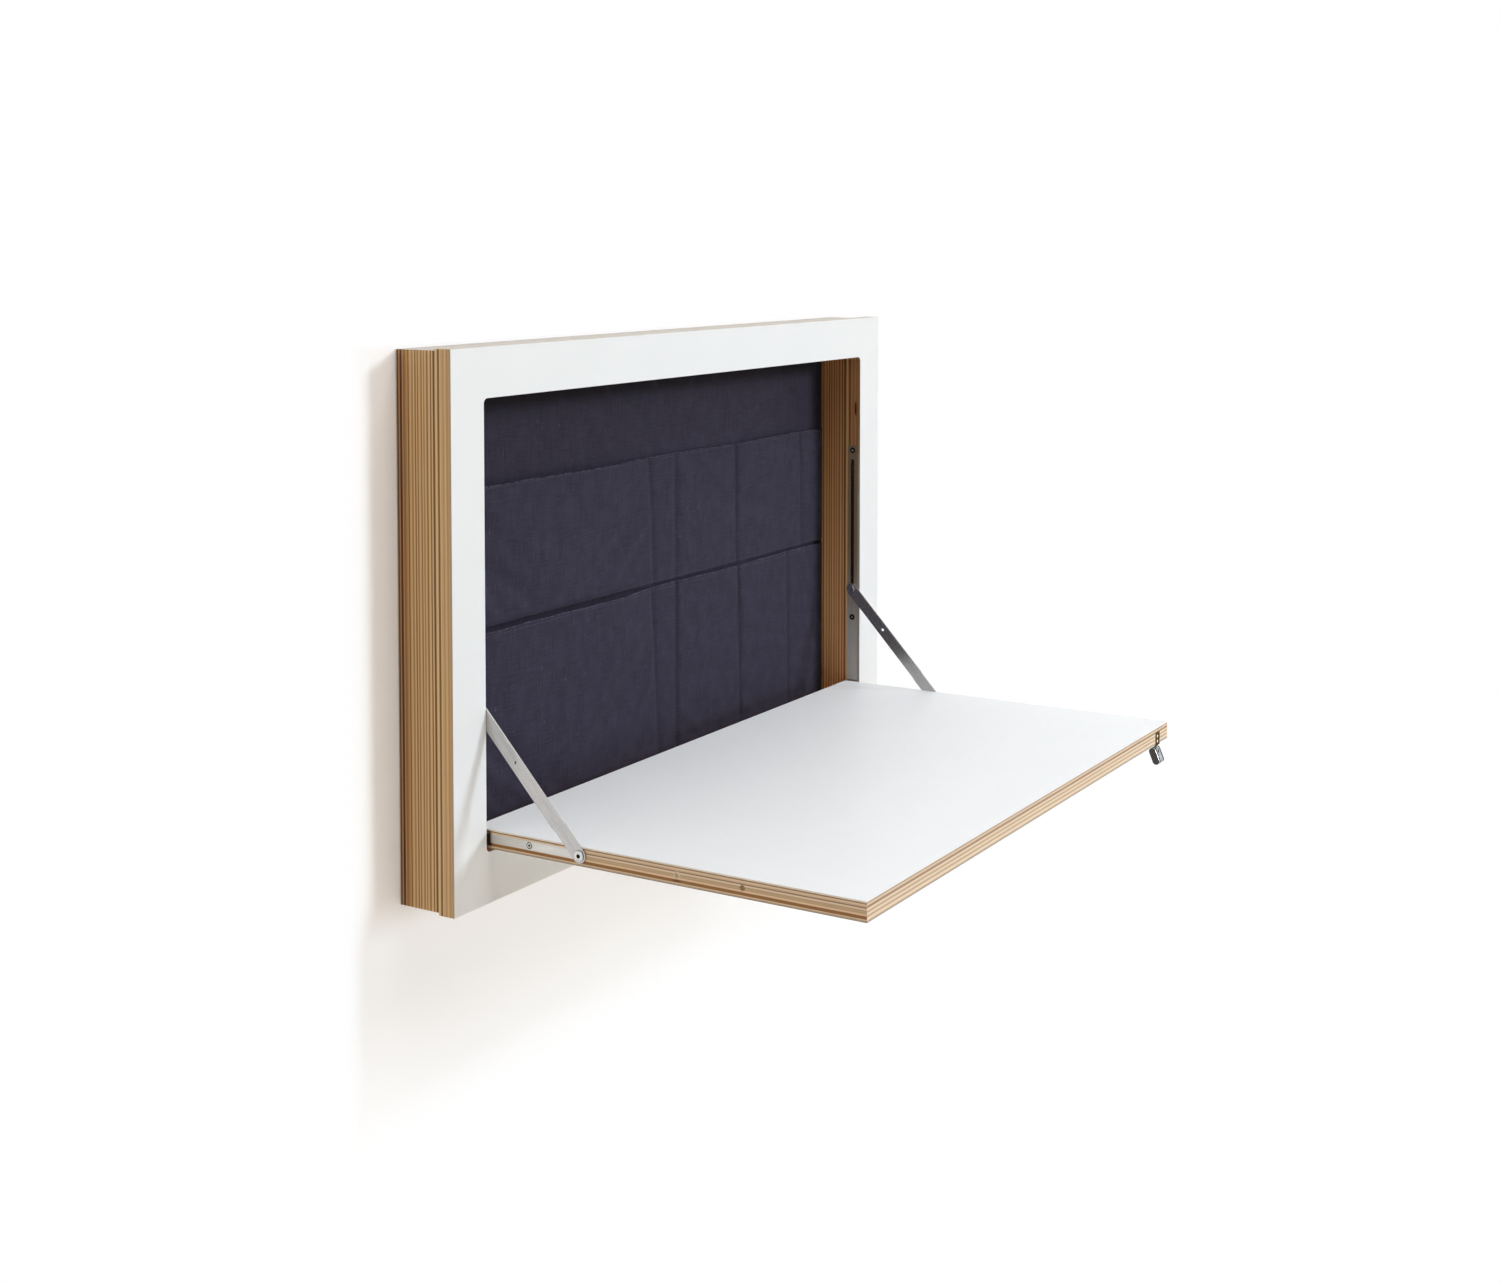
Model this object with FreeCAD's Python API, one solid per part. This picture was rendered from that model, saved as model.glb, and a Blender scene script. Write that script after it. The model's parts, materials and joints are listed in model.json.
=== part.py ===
"""Fold down wall desk: a shallow plywood frame that hangs on a wall and whose front flap drops
to a writing top, carried by two strap arms that slide in slotted rails.

Frame of the model, in millimetres: +X to the right as one faces the desk, +Y into the wall,
+Z up. The origin is the centre of the wall-bolt pattern, on the back face, at mid width and
mid height. The flap is modelled open. Each node is written to parts/NODE.step.
"""
import FreeCAD, Part
import math
import os

V = FreeCAD.Vector

# ---- driving dimensions -------------------------------------------------------------------
frame_width = 960.0
frame_height = 600.0
side_border = 55.0            # width of the white border beside the opening
top_border = 55.0
bottom_border = 56.0
opening_corner_radius = 6.0

board_thickness = 21.0        # faced birch board: front panel and flap are cut from it
laminate_thickness = 0.8
box_depth = 48.0              # plywood box behind the front panel
box_inset = 2.0               # the front panel stands this far proud of the box all round
back_thickness = 6.5

flap_side_gap = 4.0
flap_bottom_gap = 4.0
flap_top_gap = 4.5            # above the closed flap
flap_tail = 9.5               # flap behind the hinge axis
flap_tail_radius = 2.0
hinge_setback = 12.0          # hinge axis behind the front plane

hinge_pin_radius = 4.0
hinge_pin_in_flap = 18.0
bush_wall = 2.0
bush_depth = 12.0
bush_flange_radius = 7.0

rail_width = 16.0
rail_thickness = 2.5
rail_above_slot = 22.7        # from the slot's upper pin position to the rail's top end
rail_bottom_above_flap = 1.5
rail_screw_below_top = 7.7
rail_lower_screw_below_slot = 40.5
slot_width = 5.0

strip_width = 9.6
strip_thickness = 2.5
strip_rise = 1.0              # strip's centre line above the middle of the flap's thickness
strip_start = 2.0             # from the front plane to the strip's inner end
strip_screw_from_pivot = 66.5

pivot_reach = 132.3           # hinge axis to arm pivot, along the flap
slider_rise = 141.5           # arm pivot up to the slider pin when the flap is open
arm_width = 16.0
arm_thickness = 2.0
arm_joggle_start = 34.0
arm_joggle_length = 8.0
arm_hole_radius = 2.0
arm_hole_from_slider = 73.4
pivot_screw_radius = 2.5
pivot_head_radius = 6.0
pivot_socket_radius = 2.0
pivot_screw_depth = 14.0
arm_rivet_radius = 2.2
arm_rivet_head_radius = 4.5
arm_rivet_head = 0.9

slider_shank_radius = 2.35
slider_head_radius = 4.0
slider_head = 1.6

wood_screw_head_radius = 3.8
wood_screw_radius = 1.9
wood_screw_length = 16.0
socket_radius = 1.25
socket_depth = 1.4

catch_radius = 4.0
catch_end_wall = 1.0
catch_spring_space = 5.0      # behind the pressed ball
ball_radius = 2.5
ball_proud = 1.1
ball_travel = 1.0
buffer_radius = 3.0
buffer_length = 8.0
buffer_beyond_arm_end = 4.3   # buffer's centre past the closed arm's upper pin

pull_from_flap_end = 36.0     # pull's centre line from the flap's right end
pull_plate_width = 16.0
pull_plate_thickness = 1.2
pull_plate_top = 6.0          # below the writing surface
pull_plate_drop = 2.0         # below the underside
pull_plate_screw_spacing = 6.5
pull_plate_screw_radius = 1.2
pull_plate_screw_head_radius = 2.2
pull_plate_screw_depth = 12.0
pull_drop = 9.0               # underside to pull pin
knuckle_radius = 3.5
knuckle_width = 5.0
pull_width = 20.0
pull_radius = 4.7
pull_length = 22.4
pull_tilt = 22.0              # degrees forward of straight down
pull_fork_depth = 4.2
pull_edge_round = 1.3
pull_groove = 0.7
pull_groove_width = 2.0
pull_rim_width = 2.6
pull_pin_radius = 1.5
pull_pin_end_gap = 0.3

organiser_gap = 0.8           # round the edge of the organiser
organiser_board_thickness = 6.0
organiser_cloth_thickness = 1.0
pocket_thickness = 1.5
upper_pocket_top = 143.0      # above mid height
lower_pocket_top = -22.5      # above mid height
pocket_row_gap = 3.0          # between the two rows of pockets
organiser_screw_head_radius = 4.0
organiser_screw_radius = 2.0
organiser_screw_length = 11.0
organiser_screw_inset = 60.0

dowel_radius = 4.0
box_dowel_length = 40.0
panel_dowel_length = 22.0
panel_dowel_in_panel = 10.0
panel_dowel_x = 150.0
panel_dowel_z = 150.0

insert_outer_radius = 5.0
insert_hole_radius = 3.4
insert_length = 20.0
insert_height = 240.0         # wall inserts above and below mid height
back_screw_length = 30.0
back_screw_head_radius = 4.0
back_screw_radius = 2.0

running_clearance = 0.05      # radial, pin in bore
moving_gap = 0.3              # between faces that pass each other

# ---- derived places -----------------------------------------------------------------------
back_face = 0.0
back_inner = back_face - back_thickness
box_front = back_inner - box_depth
front_face = box_front - board_thickness
panel_back_skin = box_front - laminate_thickness
panel_front_skin = front_face + laminate_thickness

half_width = frame_width / 2
half_height = frame_height / 2
opening_x = half_width - side_border
opening_top = half_height - top_border
opening_bottom = -half_height + bottom_border
stile_middle = (opening_x + half_width - box_inset) / 2
top_rail_middle = (opening_top + half_height - box_inset) / 2
bottom_rail_middle = (opening_bottom - half_height + box_inset) / 2

flap_x = opening_x - flap_side_gap
flap_underside = opening_bottom + flap_bottom_gap
flap_top = flap_underside + board_thickness
hinge_y = front_face + hinge_setback
hinge_z = flap_underside + board_thickness / 2
flap_front = hinge_y - (opening_top - flap_top_gap - hinge_z)
flap_back = hinge_y + flap_tail

pivot_y = hinge_y - pivot_reach
pivot_z = hinge_z + strip_rise
slider_z = pivot_z + slider_rise
arm_length = math.hypot(pivot_reach, slider_rise)
closed_slider_z = hinge_z + pivot_reach + math.sqrt(arm_length ** 2 - strip_rise ** 2)
slider_travel = closed_slider_z - slider_z
rail_top = closed_slider_z + rail_above_slot
rail_bottom = flap_top + rail_bottom_above_flap
rail_back = opening_x + rail_thickness
strip_back = flap_x - strip_thickness

arm_low_x = flap_x + moving_gap
arm_high_x = opening_x - moving_gap - arm_thickness
arm_end_radius = arm_width / 2

organiser_back = back_inner
board_front = organiser_back - organiser_board_thickness
cloth_front = board_front - organiser_cloth_thickness
pocket_front = cloth_front - pocket_thickness
organiser_x = opening_x - organiser_gap
organiser_low = opening_bottom + organiser_gap
organiser_high = opening_top - organiser_gap
organiser_screw_x = organiser_x - organiser_screw_inset
organiser_screw_low = organiser_low + organiser_screw_inset
organiser_screw_high = organiser_high - organiser_screw_inset

catch_y = pivot_y - (arm_length - arm_hole_from_slider)
ball_x = flap_x + ball_proud - ball_radius
cavity_end = ball_x - ball_radius - ball_travel - catch_spring_space
catch_end = cavity_end - catch_end_wall
buffer_y = pivot_y - arm_length - buffer_beyond_arm_end

pull_x = flap_x - pull_from_flap_end
pull_pin_y = flap_front + knuckle_radius
pull_pin_z = flap_underside - pull_drop

insert_places = [(sx * stile_middle, sz * insert_height) for sx in (-1, 1) for sz in (-1, 1)]
back_screw_places = (
    [(sx * stile_middle, z) for sx in (-1, 1) for z in (-panel_dowel_z, 0.0, panel_dowel_z)]
    + [(x, z) for z in (top_rail_middle, bottom_rail_middle)
       for x in (-2 * panel_dowel_x, 0.0, 2 * panel_dowel_x)])
panel_dowel_places = (
    [(sx * stile_middle, sz * panel_dowel_z) for sx in (-1, 1) for sz in (-1, 1)]
    + [(sx * panel_dowel_x, z) for sx in (-1, 1) for z in (top_rail_middle, bottom_rail_middle)])
box_dowel_places = [(sx, y, z) for sx in (-1, 1)
                    for y in (box_front + box_depth / 4, back_inner - box_depth / 4)
                    for z in (top_rail_middle, bottom_rail_middle)]
organiser_screw_places = [(x, z) for z in (organiser_screw_low, organiser_screw_high)
                          for x in (-organiser_screw_x, 0.0, organiser_screw_x)]

nodes = {}


# ---- shapes used throughout ----------------------------------------------------------------
def box(x0, x1, y0, y1, z0, z1):
    """A block between two corners."""
    return Part.makeBox(x1 - x0, y1 - y0, z1 - z0, V(x0, y0, z0))


def rod(radius, start, end):
    """A round bar between two points."""
    along = end - start
    return Part.makeCylinder(radius, along.Length, start, along)


def tube(radius, bore, start, end):
    return rod(radius, start, end).cut(rod(bore, start, end))


def mirrored(shape):
    """The left-hand twin of a right-hand shape."""
    return shape.mirror(V(0, 0, 0), V(1, 0, 0))


def cut_all(shape, tools):
    for tool in tools:
        shape = shape.cut(tool)
    return shape


def both_sides(shapes):
    """Right-hand shapes followed by their left-hand twins."""
    return list(shapes) + [mirrored(shape) for shape in shapes]


def round_edges(shape, radius, chosen):
    edges = [edge for edge in shape.Edges if chosen(edge)]
    return shape.makeFillet(radius, edges)


def runs_along_y(edge):
    span = edge.valueAt(edge.LastParameter) - edge.valueAt(edge.FirstParameter)
    return abs(span.y) > 0.999 * span.Length


def capsule(start, end, radius, x0, x1):
    """A plate with two round ends: centres (y, z) at start and end, thick from x0 to x1."""
    a = V(x0, start[0], start[1])
    b = V(x0, end[0], end[1])
    along = (b - a).normalize()
    side = V(1, 0, 0).cross(along) * radius
    tip = along * radius
    outline = Part.Wire([
        Part.LineSegment(a + side, b + side).toShape(),
        Part.Arc(b + side, b + tip, b - side).toShape(),
        Part.LineSegment(b - side, a - side).toShape(),
        Part.Arc(a - side, a - tip, a + side).toShape()])
    return Part.Face(outline).extrude(V(x1 - x0, 0, 0))


def countersunk(head, into, head_radius, shank_radius, length, socket=0.0):
    """A countersunk screw: centre of its flush head, unit direction it is driven in."""
    cone = head_radius - shank_radius
    body = Part.makeCone(head_radius, shank_radius, cone, head, into)
    body = body.fuse(rod(shank_radius, head + into * cone, head + into * length)).removeSplitter()
    if socket:
        body = body.cut(hexagon(head, into, socket, socket_depth))
    return body


def hexagon(centre, into, radius, depth):
    """A hexagonal prism, for a driver's socket."""
    first = V(0, 0, 1) if abs(into.z) < 0.5 else V(1, 0, 0)
    second = into.cross(first)
    turn = [math.radians(60 * k) for k in range(7)]
    ring = [centre + first * (radius * math.cos(t)) + second * (radius * math.sin(t)) for t in turn]
    return Part.Face(Part.makePolygon(ring)).extrude(into * depth)


def save(name, shape):
    """Keep one node: a single solid, or a group of like solids given as a list."""
    nodes[name] = Part.makeCompound(shape) if isinstance(shape, list) else shape


def save_pair(name, right):
    save(name + "_right", right)
    save(name + "_left", mirrored(right))


# ---- fasteners; called with a socket of 0 they give the shapes of their own holes -----------
INWARD = V(-1, 0, 0)          # towards the middle, on the right-hand side


def rail_screws(socket=socket_radius):
    heights = (rail_top - rail_screw_below_top, slider_z - rail_lower_screw_below_slot)
    return [countersunk(V(opening_x, hinge_y, z), V(1, 0, 0), wood_screw_head_radius,
                        wood_screw_radius, wood_screw_length, socket) for z in heights]


def strip_screw(socket=socket_radius):
    return countersunk(V(flap_x, pivot_y + strip_screw_from_pivot, pivot_z), INWARD,
                       wood_screw_head_radius, wood_screw_radius, wood_screw_length, socket)


def back_screws(socket=socket_radius):
    return [countersunk(V(x, back_face, z), V(0, -1, 0), back_screw_head_radius,
                        back_screw_radius, back_screw_length, socket)
            for x, z in back_screw_places]


def organiser_screws(socket=socket_radius):
    return [countersunk(V(x, board_front, z), V(0, 1, 0), organiser_screw_head_radius,
                        organiser_screw_radius, organiser_screw_length, socket)
            for x, z in organiser_screw_places]


def panel_dowels():
    start = box_front - panel_dowel_in_panel
    return [rod(dowel_radius, V(x, start, z), V(x, start + panel_dowel_length, z))
            for x, z in panel_dowel_places]


def box_dowels():
    inner = opening_x - box_dowel_length / 2
    return [rod(dowel_radius, V(sx * inner, y, z), V(sx * (inner + box_dowel_length), y, z))
            for sx, y, z in box_dowel_places]


def insert_bores():
    return [rod(insert_outer_radius, V(x, back_face, z), V(x, back_face - insert_length, z))
            for x, z in insert_places]


# ---- the fixed frame ------------------------------------------------------------------------
def opening_block(y0, y1):
    block = box(-opening_x, opening_x, y0, y1, opening_bottom, opening_top)
    return round_edges(block, opening_corner_radius, runs_along_y)


def border(y0, y1):
    """One layer of the front panel: the whole outline less the opening."""
    outer = box(-half_width, half_width, y0, y1, -half_height, half_height)
    return outer.cut(opening_block(y0 - 1, y1 + 1))


def rail_pocket():
    """Recess in the panel's inner edge: the rail's own seat and the slider's track behind it."""
    half = rail_width / 2
    seat = box(opening_x, rail_back, hinge_y - half, hinge_y + half, rail_bottom, rail_top)
    reach = slider_head_radius + moving_gap
    track = capsule((hinge_y, slider_z), (hinge_y, closed_slider_z), reach,
                    rail_back, rail_back + slider_head + 2 * moving_gap)
    return seat.fuse(track)


def front_panel():
    core = border(panel_front_skin, panel_back_skin)
    bush_bore = rod(hinge_pin_radius + bush_wall, V(opening_x, hinge_y, hinge_z),
                    V(opening_x + bush_depth, hinge_y, hinge_z))
    pin_end = rod(hinge_pin_radius + moving_gap, V(opening_x, hinge_y, hinge_z),
                  V(opening_x + bush_depth + moving_gap, hinge_y, hinge_z))
    core = cut_all(core, both_sides([rail_pocket(), bush_bore, pin_end]))
    core = cut_all(core, both_sides(rail_screws(0)) + panel_dowels())
    save("front_panel_core", core)
    save("front_panel_face", border(front_face, panel_front_skin))
    save("front_panel_backer", cut_all(border(panel_back_skin, box_front), panel_dowels()))


def box_members():
    outer_x = half_width - box_inset
    outer_z = half_height - box_inset
    holes = (panel_dowels() + box_dowels() + insert_bores() + back_screws(0))
    stile = box(opening_x, outer_x, box_front, back_inner, -outer_z, outer_z)
    top = box(-opening_x, opening_x, box_front, back_inner, opening_top, outer_z)
    bottom = box(-opening_x, opening_x, box_front, back_inner, -outer_z, opening_bottom)
    save("box_stile_right", cut_all(stile, holes))
    save("box_stile_left", cut_all(mirrored(stile), holes))
    save("box_rail_top", cut_all(top, holes))
    save("box_rail_bottom", cut_all(bottom, holes))


def back():
    outer_x = half_width - box_inset
    outer_z = half_height - box_inset
    panel = box(-outer_x, outer_x, back_inner, back_face, -outer_z, outer_z)
    holes = insert_bores() + back_screws(0) + organiser_screws(0)
    save("back_panel", cut_all(panel, holes))
    save("back_panel_screws", back_screws())


def wall_inserts():
    inserts = []
    for x, z in insert_places:
        start = V(x, back_face, z)
        inserts.append(tube(insert_outer_radius, insert_hole_radius, start,
                            start - V(0, insert_length, 0)))
    save("wall_inserts", inserts)


def dowels():
    save("box_dowels", box_dowels())
    save("panel_dowels", panel_dowels())


def slot_rail():
    half = rail_width / 2
    plate = box(opening_x, rail_back, hinge_y - half, hinge_y + half, rail_bottom, rail_top)
    slot = capsule((hinge_y, slider_z), (hinge_y, closed_slider_z), slot_width / 2,
                   opening_x - 1, rail_back + 1)
    save_pair("slot_rail", cut_all(plate, [slot] + rail_screws(0)))
    save("rail_screws", both_sides(rail_screws()))


def hinge_bush():
    """Flanged bush in the frame; its flange is the washer that centres the flap."""
    axis_at = lambda x: V(x, hinge_y, hinge_z)
    bore = hinge_pin_radius + running_clearance
    flange = rod(bush_flange_radius, axis_at(flap_x + moving_gap), axis_at(opening_x))
    sleeve = rod(hinge_pin_radius + bush_wall, axis_at(opening_x), axis_at(opening_x + bush_depth))
    hole = rod(bore, axis_at(flap_x), axis_at(opening_x + bush_depth + 1))
    save_pair("hinge_bush", flange.fuse(sleeve).cut(hole))


def organiser():
    """Cloth pocket organiser: a board screwed to the back, covered, with two rows of pockets."""
    x = organiser_x
    board = box(-x, x, board_front, organiser_back, organiser_low, organiser_high)
    save("organiser_board", cut_all(board, organiser_screws(0)))
    save("organiser_screws", organiser_screws())
    save("organiser_cloth", box(-x, x, cloth_front, board_front, organiser_low, organiser_high))
    save("upper_pockets", box(-x, x, pocket_front, cloth_front,
                              lower_pocket_top + pocket_row_gap, upper_pocket_top))
    save("lower_pockets", box(-x, x, pocket_front, cloth_front, organiser_low, lower_pocket_top))


# ---- the flap --------------------------------------------------------------------------------
def flap_board():
    board = box(-flap_x, flap_x, flap_front, flap_back, flap_underside, flap_top)
    rear = lambda edge: abs(edge.CenterOfMass.y - flap_back) < 0.01 and edge.BoundBox.XLength > flap_x
    return round_edges(board, flap_tail_radius, rear)


def strip_outline():
    start = front_face - strip_start
    half = strip_width / 2
    plate = capsule((start, pivot_z), (pivot_y, pivot_z), half, strip_back, flap_x)
    return plate.cut(box(strip_back - 1, flap_x + 1, start, start + 2 * half,
                         pivot_z - 2 * half, pivot_z + 2 * half))


def pivot_shank(x_end):
    return rod(pivot_screw_radius, V(flap_x - pivot_screw_depth, pivot_y, pivot_z),
               V(x_end, pivot_y, pivot_z))


def catch_case():
    """Brass case of the ball catch: a bore for ball and spring, closed round the ball in front."""
    at = lambda x, r=0.0: V(x, catch_y, hinge_z + r)
    loose = ball_radius + running_clearance
    half_turn = math.acos((flap_x - ball_x) / loose)
    on_ball = lambda t: at(ball_x + loose * math.cos(t), loose * math.sin(t))
    mouth = on_ball(half_turn)
    beyond = V(flap_x + 1, mouth.y, mouth.z)
    outline = Part.Wire([
        Part.LineSegment(at(cavity_end), at(cavity_end, loose)).toShape(),
        Part.LineSegment(at(cavity_end, loose), at(ball_x, loose)).toShape(),
        Part.Arc(at(ball_x, loose), on_ball((half_turn + math.pi / 2) / 2), mouth).toShape(),
        Part.LineSegment(mouth, beyond).toShape(),
        Part.LineSegment(beyond, at(flap_x + 1)).toShape(),
        Part.LineSegment(at(flap_x + 1), at(cavity_end)).toShape()])
    cavity = Part.Face(outline).revolve(at(0), V(1, 0, 0), 360)
    return rod(catch_radius, at(catch_end), at(flap_x)).cut(cavity)


def catch_ball():
    return Part.makeSphere(ball_radius, V(ball_x, catch_y, hinge_z))


def buffer_plug():
    at = lambda x: V(x, buffer_y, hinge_z)
    return rod(buffer_radius, at(flap_x - buffer_length), at(flap_x - moving_gap))


def pull_plate_seat():
    """Recess for the pull's plate in the flap's front edge."""
    half = pull_plate_width / 2
    return box(pull_x - half, pull_x + half, flap_front, flap_front + pull_plate_thickness,
               flap_underside - 1, flap_top - pull_plate_top)


def pull_plate_screws():
    middle = (flap_top - pull_plate_top + flap_underside - pull_plate_drop) / 2
    heights = [middle + s * pull_plate_screw_spacing / 2 for s in (-1, 1)]
    return [countersunk(V(pull_x, flap_front, z), V(0, 1, 0), pull_plate_screw_head_radius,
                        pull_plate_screw_radius, pull_plate_screw_depth) for z in heights]


def hinge_pin():
    return rod(hinge_pin_radius, V(flap_x - hinge_pin_in_flap, hinge_y, hinge_z),
               V(opening_x + bush_depth, hinge_y, hinge_z))


def flap():
    board = flap_board()
    pockets = both_sides([strip_outline(), pivot_shank(flap_x), hinge_pin(), strip_screw(0),
                          rod(catch_radius, V(catch_end, catch_y, hinge_z),
                              V(flap_x + 1, catch_y, hinge_z)),
                          rod(buffer_radius, V(flap_x - buffer_length, buffer_y, hinge_z),
                              V(flap_x + 1, buffer_y, hinge_z))])
    board = cut_all(board, pockets + [pull_plate_seat()] + pull_plate_screws())
    skin_low = flap_underside + laminate_thickness
    skin_high = flap_top - laminate_thickness
    layer = lambda z0, z1: box(-half_width, half_width, flap_front - 1, flap_back + 1, z0, z1)
    save("flap_core", board.common(layer(skin_low, skin_high)))
    save("flap_writing_face", board.common(layer(skin_high, flap_top)))
    save("flap_outer_face", board.common(layer(flap_underside, skin_low)))


def flap_hardware():
    strip = cut_all(strip_outline(), [pivot_shank(flap_x + 1)] + [strip_screw(0)])
    save_pair("flap_strip", strip)
    save("strip_screws", both_sides([strip_screw()]))
    save_pair("hinge_pin", hinge_pin())
    save("catch_cases", both_sides([catch_case()]))
    save_pair("catch_ball", catch_ball())
    save("arm_buffers", both_sides([buffer_plug()]))
    pivot_screw()


def pivot_screw():
    """Button-headed screw on which the arm turns; its head stays inside the side gap."""
    under_head = arm_low_x + arm_thickness + running_clearance
    head_end = opening_x - moving_gap
    head = rod(pivot_head_radius, V(under_head, pivot_y, pivot_z), V(head_end, pivot_y, pivot_z))
    head = head.makeChamfer((head_end - under_head) / 3,
                            [e for e in head.Edges if abs(e.CenterOfMass.x - head_end) < 0.01])
    screw = head.fuse(pivot_shank(under_head)).removeSplitter()
    socket = hexagon(V(head_end, pivot_y, pivot_z), INWARD, pivot_socket_radius, socket_depth)
    save_pair("pivot_screw", screw.cut(socket))


# ---- the arms and their sliders --------------------------------------------------------------
def arm():
    """Flat strap, joggled near its pivot so that the screw head fits in the gap.

    It is drawn lying along X from its pivot, thickness along Z, then turned into place.
    """
    rise = arm_high_x - arm_low_x
    far = arm_length + arm_end_radius + 1
    near = -arm_end_radius - 1
    joggle_end = arm_joggle_start + arm_joggle_length
    low = [V(near, 0, 0), V(arm_joggle_start, 0, 0), V(joggle_end, 0, rise), V(far, 0, rise)]
    lift = V(0, 0, arm_thickness)
    ring = low + [point + lift for point in reversed(low)]
    side_view = Part.Face(Part.makePolygon(ring + ring[:1]))
    side_view.translate(V(0, -arm_width, 0))
    bent = side_view.extrude(V(0, 2 * arm_width, 0))

    half = V(0, arm_end_radius, 0)
    end = V(arm_length, 0, 0)
    tip = V(arm_end_radius, 0, 0)
    outline = Part.Face(Part.Wire([
        Part.LineSegment(half, end + half).toShape(),
        Part.Arc(end + half, end + tip, end - half).toShape(),
        Part.LineSegment(end - half, half * -1).toShape(),
        Part.Arc(half * -1, tip * -1, half).toShape()]))
    strap = bent.common(outline.extrude(V(0, 0, rise + arm_thickness)))

    up = V(0, 0, 1)
    for place, radius in ((0, pivot_screw_radius + running_clearance),
                          (arm_length - arm_hole_from_slider, arm_hole_radius),
                          (arm_length, arm_rivet_radius)):
        strap = strap.cut(Part.makeCylinder(radius, 2 * (rise + arm_thickness),
                                            V(place, 0, -rise), up))
    return place_arm(strap)


def place_arm(shape):
    """Turn a shape drawn along the arm to its place in the right-hand gap."""
    along = V(0, pivot_reach, slider_rise).normalize()
    outward = V(1, 0, 0)
    across = outward.cross(along)
    shape.Placement = FreeCAD.Placement(FreeCAD.Matrix(
        along.x, across.x, outward.x, arm_low_x,
        along.y, across.y, outward.y, pivot_y,
        along.z, across.z, outward.z, pivot_z,
        0, 0, 0, 1))
    return shape


def arm_rivet():
    """Rivet at the arm's upper end, with a low head on the flap's side."""
    at = lambda x: V(x, hinge_y, slider_z)
    shank = rod(arm_rivet_radius, at(arm_high_x - arm_rivet_head), at(arm_high_x + arm_thickness))
    head = rod(arm_rivet_head_radius, at(arm_high_x - arm_rivet_head), at(arm_high_x))
    return head.fuse(shank).removeSplitter()


def slider():
    """Headed pin that runs in the rail's slot; its head is behind the rail."""
    at = lambda x: V(x, hinge_y, slider_z)
    head_start = rail_back + moving_gap
    shank = rod(slider_shank_radius, at(opening_x), at(head_start))
    head = rod(slider_head_radius, at(head_start), at(head_start + slider_head))
    return shank.fuse(head).removeSplitter()


def arms():
    save_pair("arm", arm())
    save_pair("arm_rivet", arm_rivet())
    save_pair("slider_pin", slider())


# ---- the pull --------------------------------------------------------------------------------
def pull_plate():
    """Edge plate whose narrow tongue rolls into the knuckle that carries the pull."""
    half = pull_plate_width / 2
    back_y = flap_front + pull_plate_thickness
    tongue_half = knuckle_width / 2
    plate = box(pull_x - half, pull_x + half, flap_front, back_y,
                flap_underside - pull_plate_drop, flap_top - pull_plate_top)
    tongue = box(pull_x - tongue_half, pull_x + tongue_half, flap_front, back_y,
                 pull_pin_z, flap_underside)
    at = lambda x: V(x, pull_pin_y, pull_pin_z)
    knuckle = rod(knuckle_radius, at(pull_x - tongue_half), at(pull_x + tongue_half))
    hole = rod(pull_pin_radius + running_clearance, at(pull_x - half), at(pull_x + half))
    plate = plate.fuse(tongue).fuse(knuckle).removeSplitter()
    save("pull_plate", cut_all(plate, [hole] + pull_plate_screws()))
    save("pull_plate_screws", pull_plate_screws())


def pull():
    """Oval drop pull: grooved drum on a cross pin, forked round the plate's knuckle."""
    half = pull_width / 2
    centre = (pull_pin_y, pull_pin_z)
    low_end = (pull_pin_y, pull_pin_z - (pull_length - 2 * pull_radius))
    body = capsule(centre, low_end, pull_radius, pull_x - half, pull_x + half)
    rims = [edge for edge in body.Edges if abs(abs(edge.CenterOfMass.x - pull_x) - half) < 0.01]
    body = body.makeFillet(pull_edge_round, rims)
    for side in (-1, 1):
        groove_x = pull_x + side * (half - pull_rim_width - pull_groove_width / 2)
        x0 = groove_x - pull_groove_width / 2
        x1 = groove_x + pull_groove_width / 2
        ring = capsule(centre, low_end, pull_radius + 1, x0, x1)
        ring = ring.cut(capsule(centre, low_end, pull_radius - pull_groove, x0 - 1, x1 + 1))
        body = body.cut(ring)
    fork_half = knuckle_width / 2 + moving_gap
    fork = box(pull_x - fork_half, pull_x + fork_half,
               pull_pin_y - 2 * pull_radius, pull_pin_y + 2 * pull_radius,
               pull_pin_z - pull_fork_depth, pull_pin_z + 2 * pull_radius)
    pin_half = half - pull_pin_end_gap
    pin = rod(pull_pin_radius, V(pull_x - pin_half, pull_pin_y, pull_pin_z),
              V(pull_x + pin_half, pull_pin_y, pull_pin_z))
    body = body.cut(fork).cut(pin)
    body.rotate(V(pull_x, pull_pin_y, pull_pin_z), V(1, 0, 0), -pull_tilt)
    save("drop_pull", body)
    save("pull_pin", pin)


def build():
    front_panel()
    box_members()
    back()
    wall_inserts()
    dowels()
    slot_rail()
    hinge_bush()
    organiser()
    flap()
    flap_hardware()
    arms()
    pull_plate()
    pull()


build()
os.makedirs("parts", exist_ok=True)
for name, shape in nodes.items():
    shape.exportStep("parts/" + name + ".step")
    print(f"{name:22s} solids {len(shape.Solids)}  volume {shape.Volume:12.1f}  valid {shape.isValid()}")
print(f"hinge y {hinge_y:.3f} z {hinge_z:.3f}  pivot y {pivot_y:.3f} z {pivot_z:.3f}")
print(f"slider z {slider_z:.3f} travel {slider_travel:.4f}  arm length {arm_length:.4f}")
print(f"pull pin x {pull_x:.3f} y {pull_pin_y:.3f} z {pull_pin_z:.3f}  catch y {catch_y:.3f}")
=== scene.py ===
import json
import math

import bmesh
import bpy
from mathutils import Matrix, Vector
from mathutils.bvhtree import BVHTree

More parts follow.
